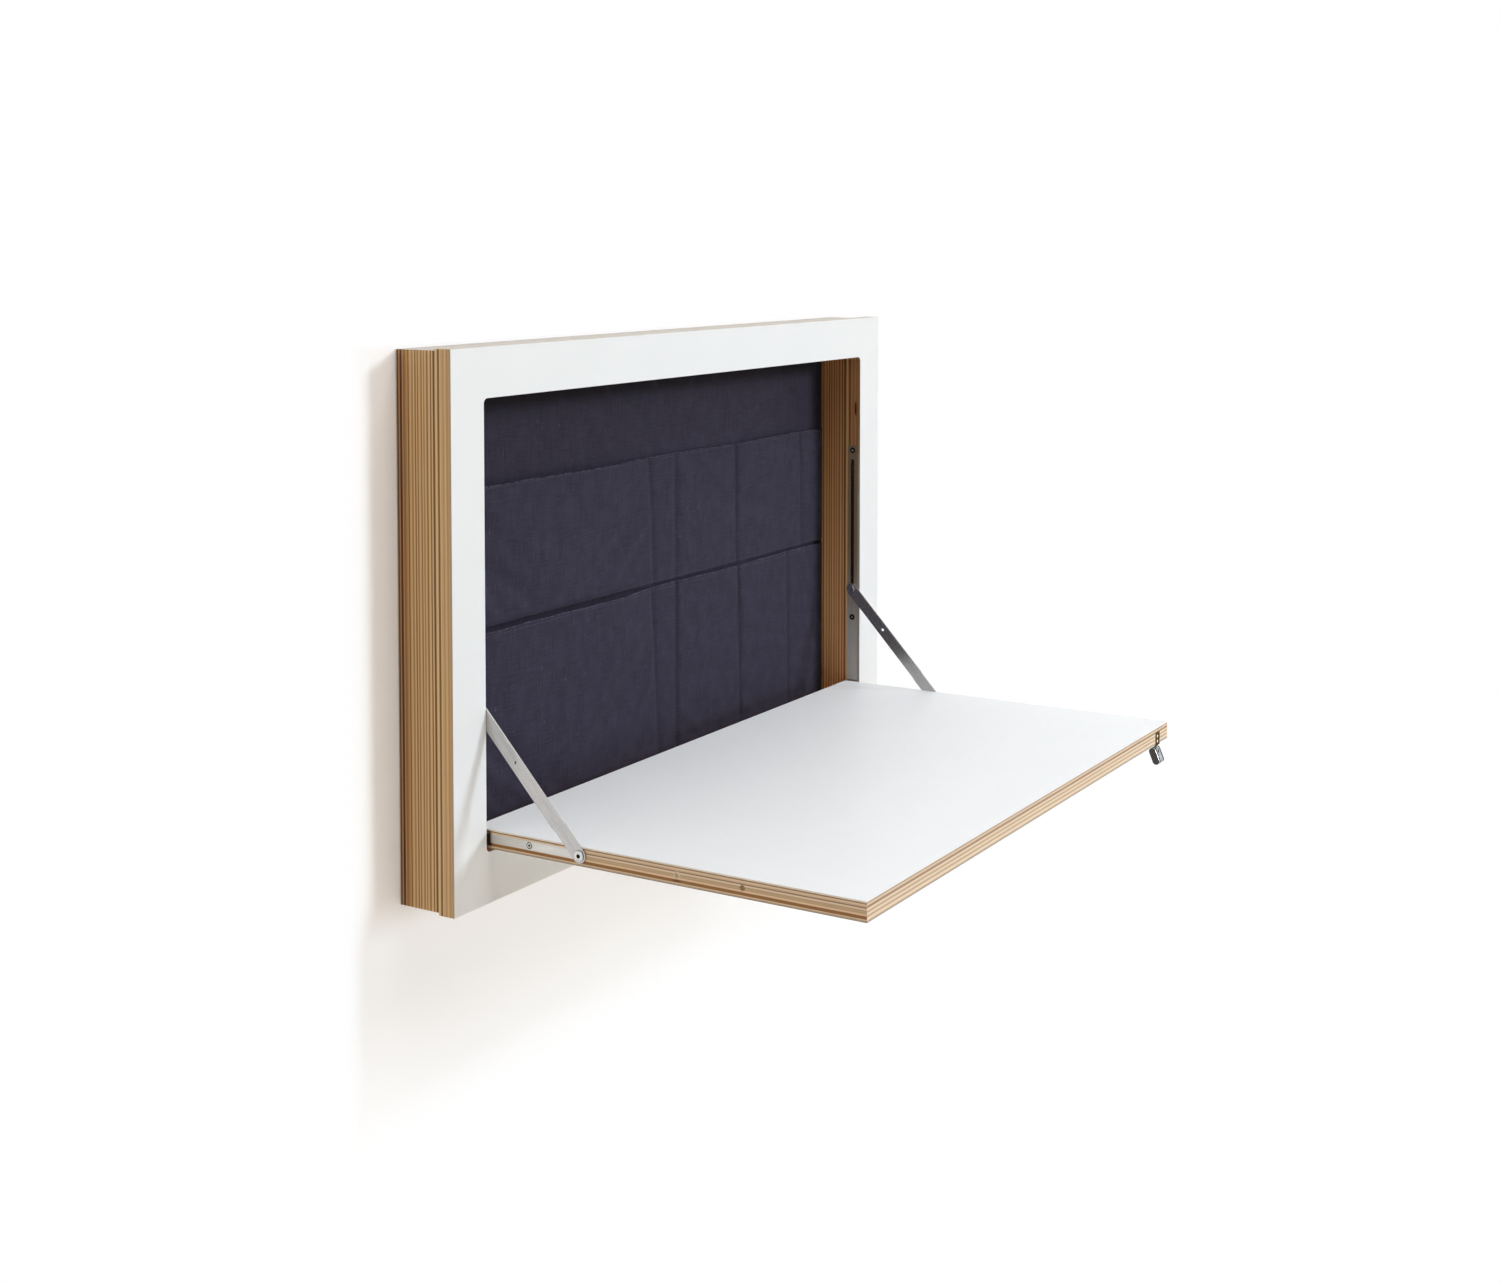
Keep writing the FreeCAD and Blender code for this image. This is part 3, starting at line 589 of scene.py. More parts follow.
# ---- Hinge bushes ----
# A flanged nylon bush pressed into each side of the opening carries the flap's hinge pin. Its
# flange keeps the flap's side off the panel.
def moulded(name, colour, deeper, roughness, grain):
    """Moulded or cut rubber, nylon or fibre, in two close tones."""
    material, tree, shader = new_finish(name, roughness=roughness)
    place, _, _ = object_place(tree)
    cloud = speckle(tree, place, grain, 3.0)
    tree.links.new(mixed(tree, fade(tree, cloud, 0.3, 0.7), colour, deeper), shader["Base Color"])
    raise_bumps(tree, shader, speckle(tree, place, grain * 6, 2.0), 0.15, 0.0001)
    return material


dress(moulded("bush_nylon", paint(206, 200, 186), paint(186, 178, 160), 0.45, 180.0),
      "hinge_bush_right", "hinge_bush_left")


# ---- Organiser ----
# A fibreboard screwed to the back panel and covered in dark indigo canvas. Two rows of pockets
# are sewn on along their foot, their ends and the dividing seams, and gape a little at the top.
fibreboard = moulded("organiser_fibreboard", paint(122, 92, 62), paint(94, 68, 44), 0.8, 240.0)
dress(fibreboard, "organiser_board")
dress(zinc, "organiser_screws")


def canvas(name, warp, weft, worn, lint_and_highlight, painted_shade_colour):
    """Plain-woven cotton canvas; the pattern follows the cloth's own UV map, in metres, and a
    point attribute is 1 where painted shade darkens the cloth at seams, gathers and the recess's
    margins, and below 0 where a painted highlight lightens the lip of a pocket's mouth."""
    material, tree, shader = new_finish(name, roughness=0.9, constants={
        "Sheen Weight": 0.06, "Sheen Roughness": 0.5, "Sheen Tint": paint(150, 146, 170),
        "Specular IOR Level": 0.2})
    flat = put(tree, "UVMap", uv_map="cut").outputs[0]
    threads = 1300.0
    across = put(tree, "SeparateXYZ", {0: flat}).outputs
    up_thread = calc(tree, "SINE", times(tree, across[0], threads * math.pi))
    side_thread = calc(tree, "SINE", times(tree, across[1], threads * math.pi))
    weave = times(tree, up_thread, side_thread)
    warp_slubs = speckle(tree, stretched(tree, flat, (700.0, 26.0, 1.0)), 1.0, 2.0)
    weft_slubs = speckle(tree, stretched(tree, flat, (34.0, 700.0, 1.0)), 1.0, 2.0)
    slubs = plus(tree, warp_slubs, weft_slubs)
    fading = speckle(tree, stretched(tree, flat, (1.0, 0.7, 1.0)), 52.0, 6.0)
    nap = speckle(tree, stretched(tree, flat, (1.0, 0.5, 1.0)), 190.0, 4.0)
    threadwise = mixed(tree, fade(tree, weave, -0.4, 0.4), warp, weft)
    streaked = mixed(tree, fade(tree, slubs, 0.85, 1.2, 0.0, 0.55), threadwise, worn)
    patchy = mixed(tree, fade(tree, fading, 0.38, 0.68, 0.0, 0.38), streaked, worn)
    dusty = mixed(tree, fade(tree, nap, 0.62, 0.80, 0.0, 0.45), patchy, lint_and_highlight)
    # Painted light: the attribute mixes in painted shade, made uneven by the fading, and below 0 a
    # painted highlight in the lint's colour.
    painted_light = put(tree, "Attribute", attribute_name="painted_light").outputs["Fac"]
    uneven_shade = times(tree, painted_light, fade(tree, fading, 0.25, 0.55, 0.55, 1.0))
    lip_highlight = times(tree, fade(tree, painted_light, 0.0, -1.0), fade(tree, nap, 0.42, 0.58))
    worked = mixed(tree, lip_highlight, mixed(tree, calc(tree, "MAXIMUM", uneven_shade, 0.0), dusty, painted_shade_colour), lint_and_highlight)
    tree.links.new(worked, shader["Base Color"])
    height = plus(tree, times(tree, weave, 0.5), plus(tree, slubs, nap))
    raise_bumps(tree, shader, height, 0.4, 0.0004)
    return material


indigo = canvas("indigo_canvas", paint(38, 35, 48), paint(45, 42, 57), paint(57, 53, 70),
                paint(84, 80, 99), paint(9, 8, 12))
thread_finish = moulded("indigo_thread", paint(74, 71, 86), paint(58, 55, 68), 0.7, 900.0)

cover_low, cover_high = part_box("organiser_cloth")
upper_low, upper_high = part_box("upper_pockets")
lower_low, lower_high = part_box("lower_pockets")
cloth_thickness = 0.0009
cell = 0.005
stood_up = Matrix.Rotation(math.radians(90), 3, "X")


def upright_sheet(low_x, high_x, low_z, high_z, y):
    """A grid standing in the plane of the organiser, with its flat cut kept in the UV map."""
    work = bmesh.new()
    width, height = high_x - low_x, high_z - low_z
    bmesh.ops.create_grid(work, x_segments=round(width / cell), y_segments=round(height / cell),
                          size=0.5)
    bmesh.ops.scale(work, vec=(width, height, 1.0), verts=work.verts)
    bmesh.ops.rotate(work, cent=(0, 0, 0), matrix=stood_up, verts=work.verts)
    bmesh.ops.translate(work, vec=((low_x + high_x) / 2, y, (low_z + high_z) / 2), verts=work.verts)
    cut = work.loops.layers.uv.new("cut")
    for face in work.faces:
        for loop in face.loops:
            loop[cut].uv = (loop.vert.co.x, loop.vert.co.z)
    return work


def thicken(piece, levels=1):
    solid = piece.modifiers.new("cloth_thickness", "SOLIDIFY")
    solid.thickness = cloth_thickness
    solid.offset = 0.0
    if levels:
        smooth = piece.modifiers.new("cloth_smoothing", "SUBSURF")
        smooth.levels = smooth.render_levels = levels


def cloth_in_place(piece, node):
    finish_piece(piece, indigo)
    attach(piece, "frame")
    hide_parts(node)


def soft_wave(x, z):
    """The slight unevenness of cloth pulled over a board, in metres."""
    wave = math.sin(x * 31 + 2 * math.sin(z * 17)) + 0.6 * math.sin(z * 43 + 3 * math.sin(x * 11))
    return 0.00022 * wave


side_shade_start, top_shade_start = cover_high.x - 0.0242, cover_high.z - 0.0482


def ramp(value, start, span):
    """How far a value is past its start, as a share of the span, kept from 0 to 1."""
    return min(max((value - start) / span, 0.0), 1.0)


def margin_shade(x, z):
    """How much painted shade darkens the cloth at the recess's sides and top, and a little towards its
    upper right, 0 to 1.
    """
    side = ramp(abs(x), side_shade_start, 0.010)
    top = ramp(z, top_shade_start, 0.040)
    corner = ramp(x, 0.25, 0.10) * ramp(z, 0.04, 0.10)
    return max(side, 0.85 * top ** 1.5, 0.22 * corner)


cover_y = (cover_low.y + cover_high.y) / 2
cover = upright_sheet(cover_low.x, cover_high.x, cover_low.z, cover_high.z, cover_y)
for vert in cover.verts:
    vert.co.y -= soft_wave(vert.co.x, vert.co.z) * 0.6
organiser_cover = new_piece("organiser_cover", cover, smooth_below=180.0)
cloth_in_place(organiser_cover, "organiser_cloth")
# Painted shade on the cover where it meets the recess's sides and top.
cover_painted_light = organiser_cover.data.attributes.new("painted_light", "FLOAT", "POINT")
for vert in organiser_cover.data.vertices:
    cover_painted_light.data[vert.index].value = margin_shade(vert.co.x, vert.co.z)
thicken(organiser_cover, levels=0)

row_ends = (upper_low.x + 0.001, upper_high.x - 0.001)
board_plane = cover_low.y
# Each seam: its place along the row at the foot and at the mouth, and how deep a painted shade it takes.
upper_seams = ((-0.0135, -0.0245, 0.35), (0.0351, 0.0352, 0.20), (0.1851, 0.1818, 0.80),
               (0.3600, 0.3543, 0.35))
lower_seams = ((-0.0024, -0.0190, 0.45), (0.0380, 0.0382, 0.80), (0.1949, 0.1890, 0.80),
               (0.3224, 0.3189, 0.25))


def seam_gap(x, rise, seams):
    """The nearest seam's distance and depth, at a height from 0 at the foot to 1 at the mouth."""
    gaps = [(abs(x - (foot + (mouth - foot) * rise)), depth) for foot, mouth, depth in seams]
    gaps += [(abs(x - end), 0.5) for end in row_ends]
    return min(gaps)


hem_roll = 0.0014
# How wide a seam draws the cloth in, how far the cloth drifts along the board as it settles,
# how far it puffs out between seams, and the most and the least it stands off the board.
seam_reach, side_drift, puff = 0.0045, 0.0015, 0.0010
deepest, lying = 0.008, 0.0006
# Where a band of painted shade crosses the lower pockets near their foot: its middle and spread, as
# shares of the row's height.
lower_shade_band = (0.085, 0.03)


def pocket_row(name, node, low_z, high_z, seams, fullness, gape, mouth_dip):
    """A sewn row of pockets: cloth a little fuller than the board, pinned along foot and seams,
    then let settle with the board behind it. Gape is how far the widest mouth stands off, and
    mouth_dip how far it hangs below the row's top line."""
    mouth_z = high_z - mouth_dip
    work = upright_sheet(*row_ends, low_z, mouth_z, board_plane - 0.0012)
    bmesh.ops.bisect_plane(work, geom=work.verts[:] + work.edges[:] + work.faces[:],
                           plane_co=(0, 0, mouth_z - hem_roll), plane_no=(0, 0, 1))
    height = mouth_z - low_z

    def rise_at(z):
        return (z - low_z) / height

    for vert in work.verts:
        rise = rise_at(vert.co.z)
        for foot, mouth, depth in seams:
            seam = foot + (mouth - foot) * rise
            if abs(vert.co.x - seam) < cell / 2:
                vert.co.x = seam
    piece = new_piece(name, work, smooth_below=180.0)
    held = piece.vertex_groups.new(name="sewn")
    sewn = [v.index for v in piece.data.vertices if v.co.z < low_z + cell / 2
            or seam_gap(v.co.x, rise_at(v.co.z), seams)[0] < 0.0001]
    held.add(sewn, 1.0, "REPLACE")
    for vert in piece.data.vertices:
        rise = rise_at(vert.co.z)
        room = 1 - math.exp(-seam_gap(vert.co.x, rise, seams)[0] / 0.05)
        loose = 0.45 + 0.55 * math.sin(vert.co.x * 19 + 1.3 * math.sin(vert.co.x * 47)) ** 2
        vert.co.y -= gape * loose * room * rise ** 3
    flat_places = [vert.co.copy() for vert in piece.data.vertices]
    drape(piece, fullness)
    painted_light = piece.data.attributes.new("painted_light", "FLOAT", "POINT")
    for vert, flat in zip(piece.data.vertices, flat_places):
        rise = rise_at(flat.z)
        gap, depth = seam_gap(flat.x, rise, seams)
        drawn_in = math.exp(-((gap / seam_reach) ** 2))
        vert.co.x = min(max(vert.co.x, flat.x - side_drift), flat.x + side_drift)
        vert.co.z = min(max(vert.co.z, flat.z - side_drift), flat.z + side_drift)
        vert.co.z += 0.0007 * (math.sin(flat.x * 21 + 1.0) + 0.4 * math.sin(flat.x * 83)) * rise ** 8
        vert.co.y = max(vert.co.y, board_plane - deepest) - soft_wave(flat.x, flat.z)
        vert.co.y -= puff * (1 - drawn_in)
        vert.co.y = min(vert.co.y, board_plane - lying)
        off_hem = (rise - lower_shade_band[0]) / lower_shade_band[1]
        band_shade = math.exp(-(off_hem ** 2)) * (0.03 < flat.x < 0.37) * (height > 0.2)
        # Painted shade along the seams and in a band near the foot of the lower pockets, and a painted
        # highlight on the pocket's lip.
        seam_shade = 0.78 * depth * drawn_in * (0.55 + 0.45 * rise)
        shade = max(min(1.0, seam_shade + 0.45 * band_shade), margin_shade(flat.x, 0.0))
        at_lip = flat.z > mouth_z - hem_roll / 2 and shade < 0.3
        painted_light.data[vert.index].value = -0.9 if at_lip else shade
    cloth_in_place(piece, node)
    thicken(piece)
    return piece


def drape(piece, fullness):
    """Cloth simulation of a sewn row against the covered board; the result is kept as mesh."""
    overhang = 0.02
    stop = new_piece("board_stop", upright_sheet(cover_low.x - overhang, cover_high.x + overhang,
                                                 cover_low.z, cover_high.z, board_plane))
    stop.modifiers.new("stop", "COLLISION")
    stop.collision.thickness_outer = 0.0008
    cloth = piece.modifiers.new("cloth", "CLOTH")
    settings = cloth.settings
    settings.quality = 10
    settings.mass = 0.2
    settings.tension_stiffness = settings.compression_stiffness = 60.0
    settings.shear_stiffness = 30.0
    settings.bending_stiffness = 4.0
    settings.air_damping = 5.0
    settings.effector_weights.gravity = 0.08
    settings.shrink_min = -fullness
    settings.vertex_group_mass = "sewn"
    cloth.collision_settings.distance_min = 0.0008
    cloth.collision_settings.use_self_collision = False
    frames = 28
    cloth.point_cache.frame_end = frames
    scene = bpy.context.scene
    for number in range(1, frames + 1):
        scene.frame_set(number)
    settled = piece.evaluated_get(bpy.context.evaluated_depsgraph_get())
    places = [vert.co.copy() for vert in settled.data.vertices]
    piece.modifiers.remove(cloth)
    for vert, place in zip(piece.data.vertices, places):
        vert.co = place
    bpy.data.objects.remove(stop)
    scene.frame_set(1)


row_fullness = 0.004
upper_row = pocket_row("upper_pocket_row", "upper_pockets", upper_low.z, upper_high.z, upper_seams,
                       row_fullness, gape=0.0010, mouth_dip=0.0020)
lower_row = pocket_row("lower_pocket_row", "lower_pockets", lower_low.z, lower_high.z, lower_seams,
                       row_fullness, gape=0.0009, mouth_dip=0.0008)


def stitching(name, row, lines):
    """Lockstitches: small thread ovals that follow the settled cloth along straight lines."""
    surface = BVHTree.FromObject(row, bpy.context.evaluated_depsgraph_get())
    work = bmesh.new()
    pitch, length, gauge = 0.0044, 0.0030, 0.00055
    for start, end in lines:
        a, b = Vector((start[0], 0, start[1])), Vector((end[0], 0, end[1]))
        along = (b - a).normalized()
        count = int((b - a).length / pitch)
        turn = along.to_track_quat("X", "Y").to_matrix().to_4x4()
        for number in range(count):
            centre = a + along * (pitch * (number + 0.5))
            hit = surface.ray_cast(Vector((centre.x, -0.3, centre.z)), Vector((0, 1, 0)))[0]
            if hit is None:
                continue
            size = Matrix.Diagonal((length / 2, gauge / 2, gauge / 2, 1.0))
            bmesh.ops.create_icosphere(work, subdivisions=1, radius=1.0,
                                       matrix=Matrix.Translation(hit) @ turn @ size)
    piece = new_piece(name, work, smooth_below=180.0)
    finish_piece(piece, thread_finish)
    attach(piece, "frame")
    return piece


def row_lines(low_z, high_z, seams):
    """Where a row is stitched: along its mouth and its foot, and down each seam."""
    seam_margin, mouth_margin = 0.003, 0.0052
    ends = (row_ends[0] + seam_margin, row_ends[1] - seam_margin)
    mouth = high_z - mouth_margin
    foot = low_z + seam_margin
    lines = [((ends[0], mouth), (ends[1], mouth)), ((ends[0], foot), (ends[1], foot))]
    for at_foot, at_mouth, _ in seams:
        lines.append(((at_foot, foot), (at_mouth, mouth)))
    return lines


for row, name, low, high, seams in (
        (upper_row, "upper_row_stitching", upper_low, upper_high, upper_seams),
        (lower_row, "lower_row_stitching", lower_low, lower_high, lower_seams)):
    stitches = stitching(name, row, row_lines(low.z, high.z, seams))


# ---- Flap ----
# The same faced board as the front panel, cut to close the opening. It drops to a writing top;
# both faces are white laminate, and the birch plies show round its edge, painted lighter than
# the box's: partly a paler tone of their own, partly painted light, as the flap's front edge
# faces the key while the box's sides stand in its shade.
flap_low, flap_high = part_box("flap_core")
front_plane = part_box("front_panel_face")[0].y
hinge_centre = middle_of("hinge_pin_right")
pivot_centre = middle_of("pivot_screw_right")
catch_centre = middle_of("catch_ball_left")
catch_shadow_z = flap_low.z + 0.0040
# Painted shadows on the flap's sides at the hinge, the pivot and the catch: y, z, reach and shade.
side_shadows = (
    (front_plane, hinge_centre.z, (0.006, 0.0062, 0.0112), paint(44, 26, 16)),
    (pivot_centre.y, pivot_centre.z, (0.006, 0.0094, 0.0094), paint(96, 62, 42)),
    (catch_centre.y, catch_shadow_z, (0.006, 0.0070, 0.0014), paint(104, 74, 40)))
flap_shadows = [((x, y, z), reach, shade) for y, z, reach, shade in side_shadows
              for x in (-flap_high.x, flap_high.x)]
flap_pale, flap_dark = paint(236, 214, 190), paint(156, 126, 98)
flap_streaks = (
    (0.0189, 0.0010, paint(234, 222, 204), "sides"),
    (0.0178, 0.0010, paint(140, 112, 88), "sides"),
    (0.0186, 0.0013, paint(166, 140, 116), "front"), (0.0173, 0.0012, flap_pale, "front"),
    (0.0160, 0.0018, paint(232, 204, 172), "sides"), (0.0147, 0.0020, flap_dark, "front"),
    (0.0134, 0.0016, flap_dark, "sides"), (0.0122, 0.0014, flap_pale),
    (0.0103, 0.0016, paint(196, 168, 132)), (0.0079, 0.0016, flap_pale, "front"),
    (0.0080, 0.0012, paint(198, 166, 128), "sides"),
    (0.0064, 0.0014, paint(236, 204, 166), "sides"),
    (0.0056, 0.0016, paint(190, 164, 130), "front"),
    (0.0038, 0.0034, paint(152, 106, 60), "sides"), (0.0033, 0.0018, flap_pale, "front"),
    (0.0013, 0.0014, paint(240, 214, 184), "sides"), (0.0006, 0.0016, paint(188, 168, 140)))
flap_ply = plywood(
    "flap_birch", 2, flap_low.z, ply=0.00149, seed=63.0, contrast=0.5,
    pale=paint(232, 210, 184), brown=paint(206, 177, 146), glue=paint(162, 127, 94),
    streaks=flap_streaks, marks_and_shadows=flap_shadows)
dress(flap_ply, "flap_core")
flap_white = paint(230, 232, 233)
white_top = laminate("white_laminate_flap", 2, flap_white, paint(240, 232, 222), shine=0.12)
eased("flap_writing_face", "flap_writing_skin", 0.0003, white_top)
white_under = laminate("white_laminate_under", 2, flap_white, paint(150, 134, 118), shine=0.12)
eased("flap_outer_face", "flap_outer_skin", 0.0003, white_under)


# ---- Flap hardware ----
# Steel strips let into the flap's sides spread the load of the arms; one countersunk screw and
# the pivot screw hold each. Brass ball catches and rubber buffers steady the closed arms.
level = (0.0, 0.0, math.radians(90))
strip_steel = brushed_steel("strip_steel", level, paint(222, 219, 213), paint(196, 193, 187), 0.33)
bright_steel = plated_metal("bright_steel", paint(224, 223, 220), paint(196, 195, 191), 0.22)
brass = plated_metal("catch_brass", paint(214, 192, 162), paint(186, 160, 130), 0.4)
ball_steel = plated_metal("ball_steel", paint(160, 142, 127), paint(130, 114, 101), 0.22)
strip_screw_centre = middle_of("strip_screws")
pivot_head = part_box("pivot_screw_right")[1].z - pivot_centre.z
# The colour of the painted shade in the screws' sockets and round their heads.
socket_shade_colour = paint(30, 28, 26)
pivot_steel = screw_metal("pivot_screw_steel", 0, [(pivot_centre.y, pivot_centre.z)], 0.0022,
                          pivot_head * 0.93, pivot_head,
                          paint(222, 221, 217), paint(198, 197, 193), socket_shade_colour, 0.28)
strip_screw_steel = screw_metal("strip_screw_steel", 0, [(strip_screw_centre.y, strip_screw_centre.z)],
                                wood_screw_socket, 0.0027, wood_screw_head,
                                paint(214, 212, 206), paint(184, 182, 176), socket_shade_colour, 0.32)
for side in ("right", "left"):
    eased("flap_strip_" + side, f"flap_strip_{side}_plate", 0.0003, strip_steel)
    eased("pivot_screw_" + side, f"pivot_screw_{side}_button", 0.0002, pivot_steel,
          segments=3)
    dress(bright_steel, "hinge_pin_" + side)
    dress(ball_steel, "catch_ball_" + side)
eased("strip_screws", "strip_screw_set", 0.0002, strip_screw_steel)
eased("catch_cases", "catch_case_set", 0.0002, brass)
rubber = moulded("buffer_rubber", paint(152, 124, 92), paint(126, 100, 70), 0.75, 300.0)
eased("arm_buffers", "arm_buffer_set", 0.0005, rubber)


# ---- Arms ----
# Flat satin steel straps, joggled near the pivot so that the screw's head stays in the side gap.
# A rivet at the top joins each to the slider pin; a round hole takes the ball when it is folded.
slider_centre = middle_of("slider_pin_right")
arm_rise = math.atan2(slider_centre.z - pivot_centre.z, slider_centre.y - pivot_centre.y)
arm_steel = brushed_steel("arm_steel", (-arm_rise, 0.0, math.radians(90)),
                          paint(203, 201, 200), paint(181, 179, 178), 0.20, metallic=0.80)
for side in ("right", "left"):
    eased("arm_" + side, f"arm_{side}_strap", 0.00035, arm_steel)
    eased("arm_rivet_" + side, f"arm_rivet_{side}_head", 0.0003, bright_steel)
    eased("slider_pin_" + side, f"slider_pin_{side}_headed", 0.0003, bright_steel)


# ---- Pull ----
# A bronzed edge plate let into the flap's front edge carries a nickel drop pull on a cross pin;
# two small bright screws hold the plate.
bronze = plated_metal("bronzed_plate", paint(84, 62, 38), paint(64, 48, 30), 0.8, metallic=0.0, shine=0.1)
nickel = plated_metal("nickel_drop", paint(196, 196, 200), paint(160, 160, 166), 0.24)
plate_screw_low, plate_screw_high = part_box("pull_plate_screws")
plate_screw_head = (plate_screw_high.x - plate_screw_low.x) / 2
plate_screw_x = (plate_screw_low.x + plate_screw_high.x) / 2
plate_screw_centres = [(plate_screw_x, plate_screw_low.z + plate_screw_head),
                       (plate_screw_x, plate_screw_high.z - plate_screw_head)]
# The plate screws: pale heads with painted shade round their rims.
cream_screw = screw_metal("plate_screw_brass", 1, plate_screw_centres, 0.0002, 0.0019, plate_screw_head,
                          paint(255, 251, 236), paint(252, 242, 214), paint(62, 50, 34), 0.4,
                          metallic=0.1, shine=0.2)


def nickel_painted_shade():
    """Nickel painted dark on its flat ends, with painted shade in its two ring grooves and on its
    underside, and a painted highlight on the rims by its ends.
    """
    material = plated_metal("nickel_painted_shade", paint(206, 206, 210), paint(168, 168, 174), 0.24)
    tree, target, place, facing, clean = reopened(material)
    low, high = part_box("drop_pull")
    from_end = minus(tree, (high.x - low.x) / 2, apart(tree, place[0], (low.x + high.x) / 2))
    groove_start, groove_end, end_face = 0.0022, 0.0054, 0.0012
    groove = times(tree, calc(tree, "GREATER_THAN", from_end, groove_start),
                   calc(tree, "LESS_THAN", from_end, groove_end))
    flat_end = times(tree, calc(tree, "GREATER_THAN", facing[0], 0.45),
                     calc(tree, "LESS_THAN", from_end, end_face))
    # Painted shade on the underside, darker towards the bottom.
    underside_shade = fade(tree, place[2], low.z + 0.007, low.z + 0.001, 0.0, 0.75)
    black = calc(tree, "MAXIMUM", calc(tree, "MAXIMUM", groove, flat_end), underside_shade)
    rim = calc(tree, "LESS_THAN", from_end, groove_start)
    # Painted highlight: the rims by the ends are lightened nearly to white.
    rim_highlight = mixed(tree, times(tree, rim, 0.8), clean, paint(250, 250, 252))
    tree.links.new(mixed(tree, black, rim_highlight, paint(74, 71, 69)), target)
    return material


def light_grey_below(material, height, bright):
    """The knuckle under the plate, coloured a light nickel grey below the given height."""
    tree, target, place, _, clean = reopened(material)
    worn = fade(tree, place[2], height, height - 0.0006)
    tree.links.new(mixed(tree, worn, clean, bright), target)


light_grey_below(bronze, height=-0.2422, bright=paint(176, 174, 174))
eased("pull_plate", "pull_edge_plate", 0.0003, bronze)
eased("pull_plate_screws", "pull_plate_screw_set", 0.0002, cream_screw)
eased("drop_pull", "drop_pull_body", 0.0005, nickel_painted_shade(), segments=3)
eased("pull_pin", "pull_cross_pin", 0.0002, nickel)


# ---- Studio ----
# A white wall that the desk hangs on and a pale floor below, lit by one soft key from the upper
# right, a broad box overhead and an even white surround.
def glow_share_outwards(tree, place):
    """The share of painted white glow on the wall: least beside the frame, more below it, where it
    lightens the desk's shadow, and all of it further out.
    """
    across = calc(tree, "ABSOLUTE", place[0])
    below = times(tree, place[2], -1.0)
    beside = fade(tree, across, 0.500, 0.565)
    # Painted light below the frame: more glow lightens the desk's shadow on the wall.
    under = fade(tree, below, 0.285, 0.335, 0.14, 0.58)
    far_under = fade(tree, below, 0.43, 0.56)
    above = fade(tree, place[2], 0.292, 0.306)
    return calc(tree, "MAXIMUM", calc(tree, "MAXIMUM", beside, under),
                calc(tree, "MAXIMUM", far_under, above))


def pale_surface(name, plain_colour, lit_colour, on_wall):
    """Matt paint that takes the desk's shadow near the desk and, to the camera and in reflections, mixes
    in a painted white glow, so that it reads as white further out.
    """
    material = bpy.data.materials.new(name)
    material.use_nodes = True
    tree = material.node_tree
    tree.nodes.remove(tree.nodes["Principled BSDF"])
    output = tree.nodes["Material Output"]
    rays = put(tree, "LightPath").outputs
    seen = calc(tree, "MAXIMUM", rays["Is Camera Ray"], rays["Is Glossy Ray"])
    vector, place, _ = object_place(tree)
    reach = length_of(tree, vector)
    glow_share = glow_share_outwards(tree, place) if on_wall else fade(tree, reach, 0.6, 0.9, 0.5, 1.0)
    lit = put(tree, "BsdfDiffuse", {"Color": lit_colour}).outputs[0]
    own = put(tree, "Emission", {"Color": (1.0, 1.0, 1.0, 1.0)}).outputs[0]
    plain = put(tree, "BsdfDiffuse", {"Color": plain_colour}).outputs[0]
    shown = put(tree, "MixShader", {0: glow_share, 1: lit, 2: own}).outputs[0]
    front = put(tree, "MixShader", {0: seen, 1: plain, 2: shown}).outputs[0]
    clear = put(tree, "BsdfTransparent").outputs[0]
    behind = put(tree, "NewGeometry").outputs["Backfacing"]
    both = put(tree, "MixShader", {0: behind, 1: front, 2: clear}).outputs[0]
    tree.links.new(both, output.inputs["Surface"])
    return material


wall_gap = 0.0006
writing_height = 0.75
wall_reach = 5.0
floor_z = flap_high.z - writing_height
behind_desk = 0.006

wall = bmesh.new()
bmesh.ops.create_grid(wall, x_segments=1, y_segments=1, size=wall_reach)
bmesh.ops.rotate(wall, cent=(0, 0, 0), matrix=stood_up, verts=wall.verts)
bmesh.ops.translate(wall, vec=(0, back_high.y + wall_gap, floor_z + wall_reach), verts=wall.verts)
half_x, half_z = back_high.x - behind_desk, back_high.z - behind_desk
for point, normal in (((half_x, 0, 0), (1, 0, 0)), ((-half_x, 0, 0), (1, 0, 0)),
                      ((0, 0, half_z), (0, 0, 1)), ((0, 0, -half_z), (0, 0, 1))):
    bmesh.ops.bisect_plane(wall, geom=wall.verts[:] + wall.edges[:] + wall.faces[:],
                           plane_co=point, plane_no=normal)
window = [f for f in wall.faces
          if abs(f.calc_center_median().x) < half_x and abs(f.calc_center_median().z) < half_z]
bmesh.ops.delete(wall, geom=window, context="FACES")
studio_wall = new_piece("studio_wall", wall)
wall_white = pale_surface("wall_paint", paint(238, 236, 232), (0.98, 0.965, 0.955, 1.0), on_wall=True)
studio_wall.data.materials.append(wall_white)

floor = bmesh.new()
bmesh.ops.create_grid(floor, x_segments=1, y_segments=1, size=wall_reach)
bmesh.ops.translate(floor, vec=(0, 0, floor_z), verts=floor.verts)
studio_floor = new_piece("studio_floor", floor)
floor_white = pale_surface("floor_paint", paint(252, 242, 228), (0.98, 0.96, 0.94, 1.0), on_wall=False)
studio_floor.data.materials.append(floor_white)

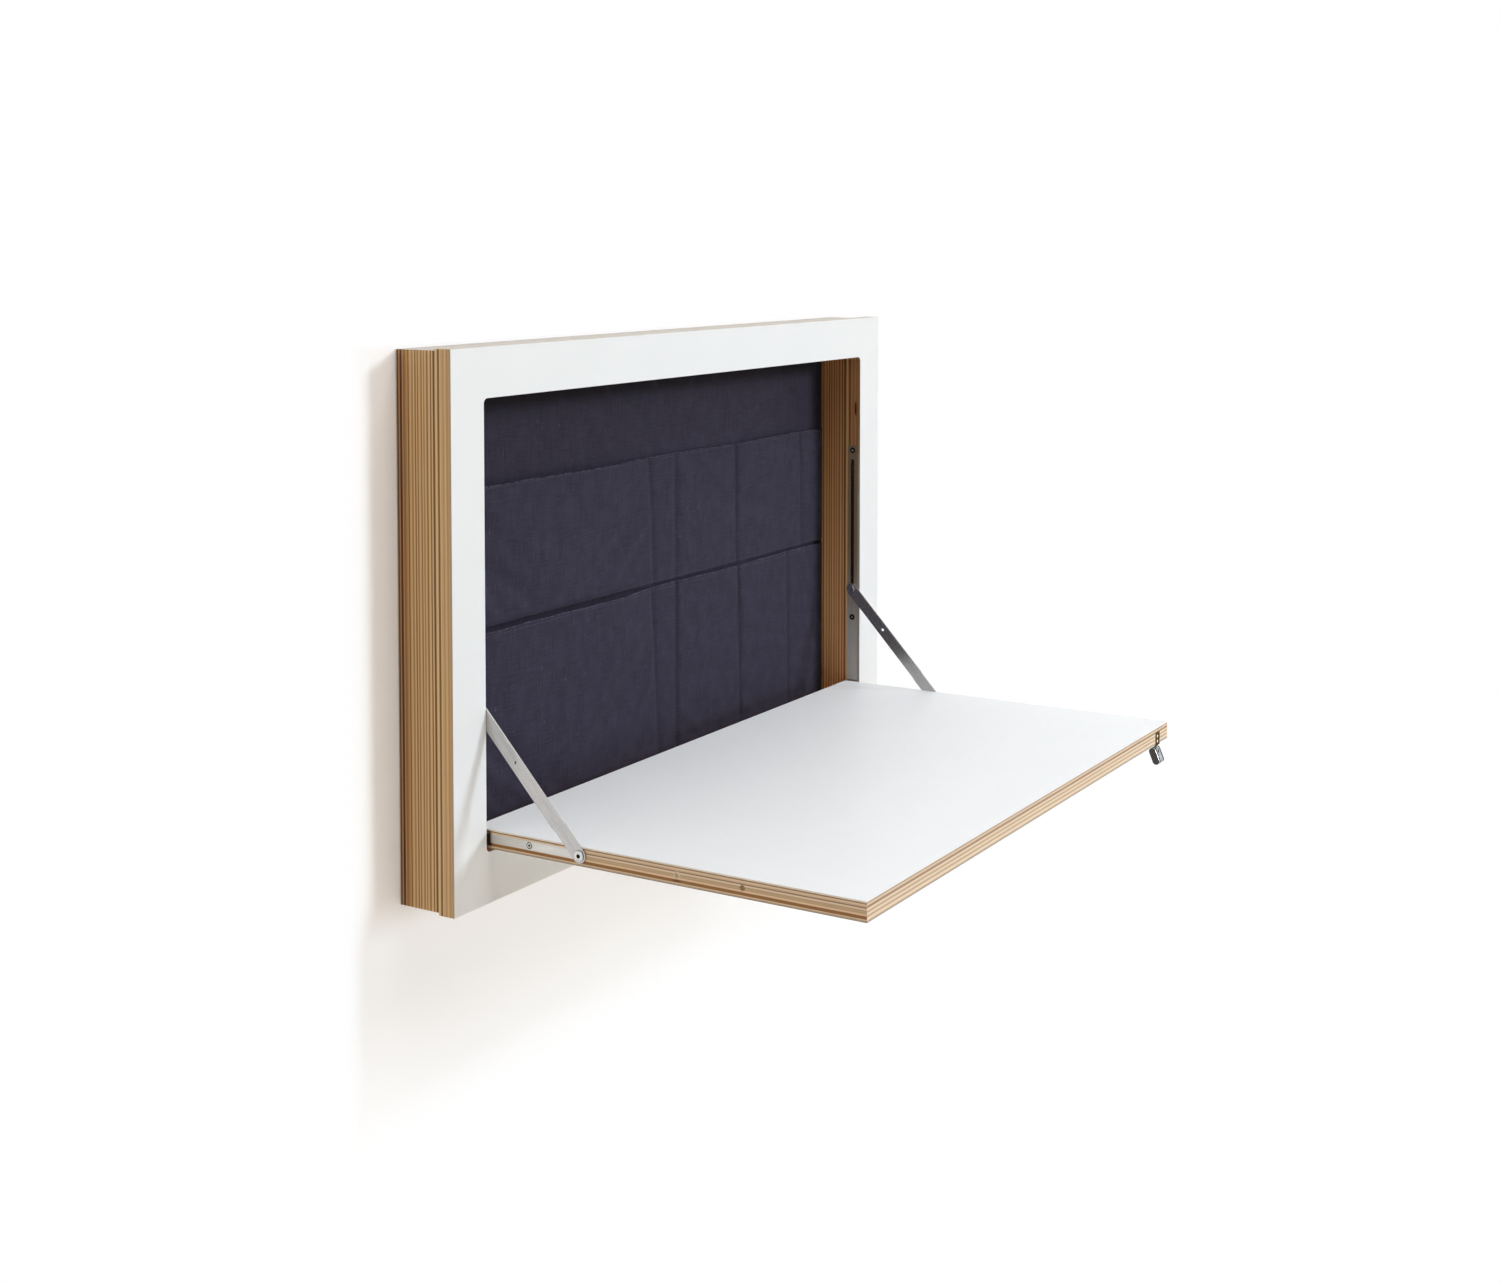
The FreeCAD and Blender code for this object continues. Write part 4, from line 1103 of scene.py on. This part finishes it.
world = bpy.data.worlds.new("white_surround")
bpy.context.scene.world = world
world.use_nodes = True
sky = world.node_tree
fill_light = (0.222, 0.184, 0.148, 1.0)
rays = put(sky, "LightPath").outputs
seen = calc(sky, "MAXIMUM", calc(sky, "MAXIMUM", rays["Is Camera Ray"], rays["Is Glossy Ray"]),
            rays["Is Transmission Ray"])
sky.links.new(mixed(sky, seen, fill_light, (1.0, 1.0, 1.0, 1.0)), sky.nodes["Background"].inputs["Color"])


def soft_box(name, target, direction, distance, size, level, colour=(1.0, 1.0, 1.0)):
    """An area lamp that lights a white surface facing it to the given level."""
    lamp = bpy.data.lights.new(name, "AREA")
    lamp.shape = "DISK"
    lamp.size = size
    lamp.color = colour
    lamp.energy = level * math.pi ** 2 * distance ** 2
    piece = bpy.data.objects.new(name, lamp)
    bpy.context.scene.collection.objects.link(piece)
    towards = Vector(direction).normalized()
    piece.location = Vector(target) + towards * distance
    piece.rotation_euler = towards.to_track_quat("Z", "Y").to_euler()
    piece.visible_camera = False


desk_centre = (0.0, -0.2, -0.05)
soft_box("key_box", desk_centre, (0.55, -1.0, 0.38), distance=14.0, size=3.1, level=0.50,
         colour=(0.82, 0.92, 1.0))
soft_box("overhead_box", desk_centre, (0.03, -0.38, 1.0), distance=5.0, size=3.4, level=0.685,
         colour=(0.94, 0.96, 1.0))
soft_box("back_box", (0.0, 0.0, 0.0), (-0.4, 1.0, 0.3), distance=5.0, size=2.6, level=0.75)

lens_mm, sensor_mm = 48.94, 36.0
eye = (-2.1258, -1.4290, 0.4206)
heading, tilt_down = 1.0242, math.radians(3.0)
camera_data = bpy.data.cameras.new("view")
camera_data.sensor_width = sensor_mm
camera_data.lens = lens_mm
camera_data.shift_x = 0.0063
camera_data.shift_y = -0.2012
camera_data.clip_start, camera_data.clip_end = 0.05, 40.0
camera = bpy.data.objects.new("view", camera_data)
camera.location = eye
camera.rotation_euler = (math.radians(90) - tilt_down, 0.0, -heading)
bpy.context.scene.collection.objects.link(camera)
bpy.context.scene.camera = camera
bpy.context.scene.view_settings.view_transform = "Standard"
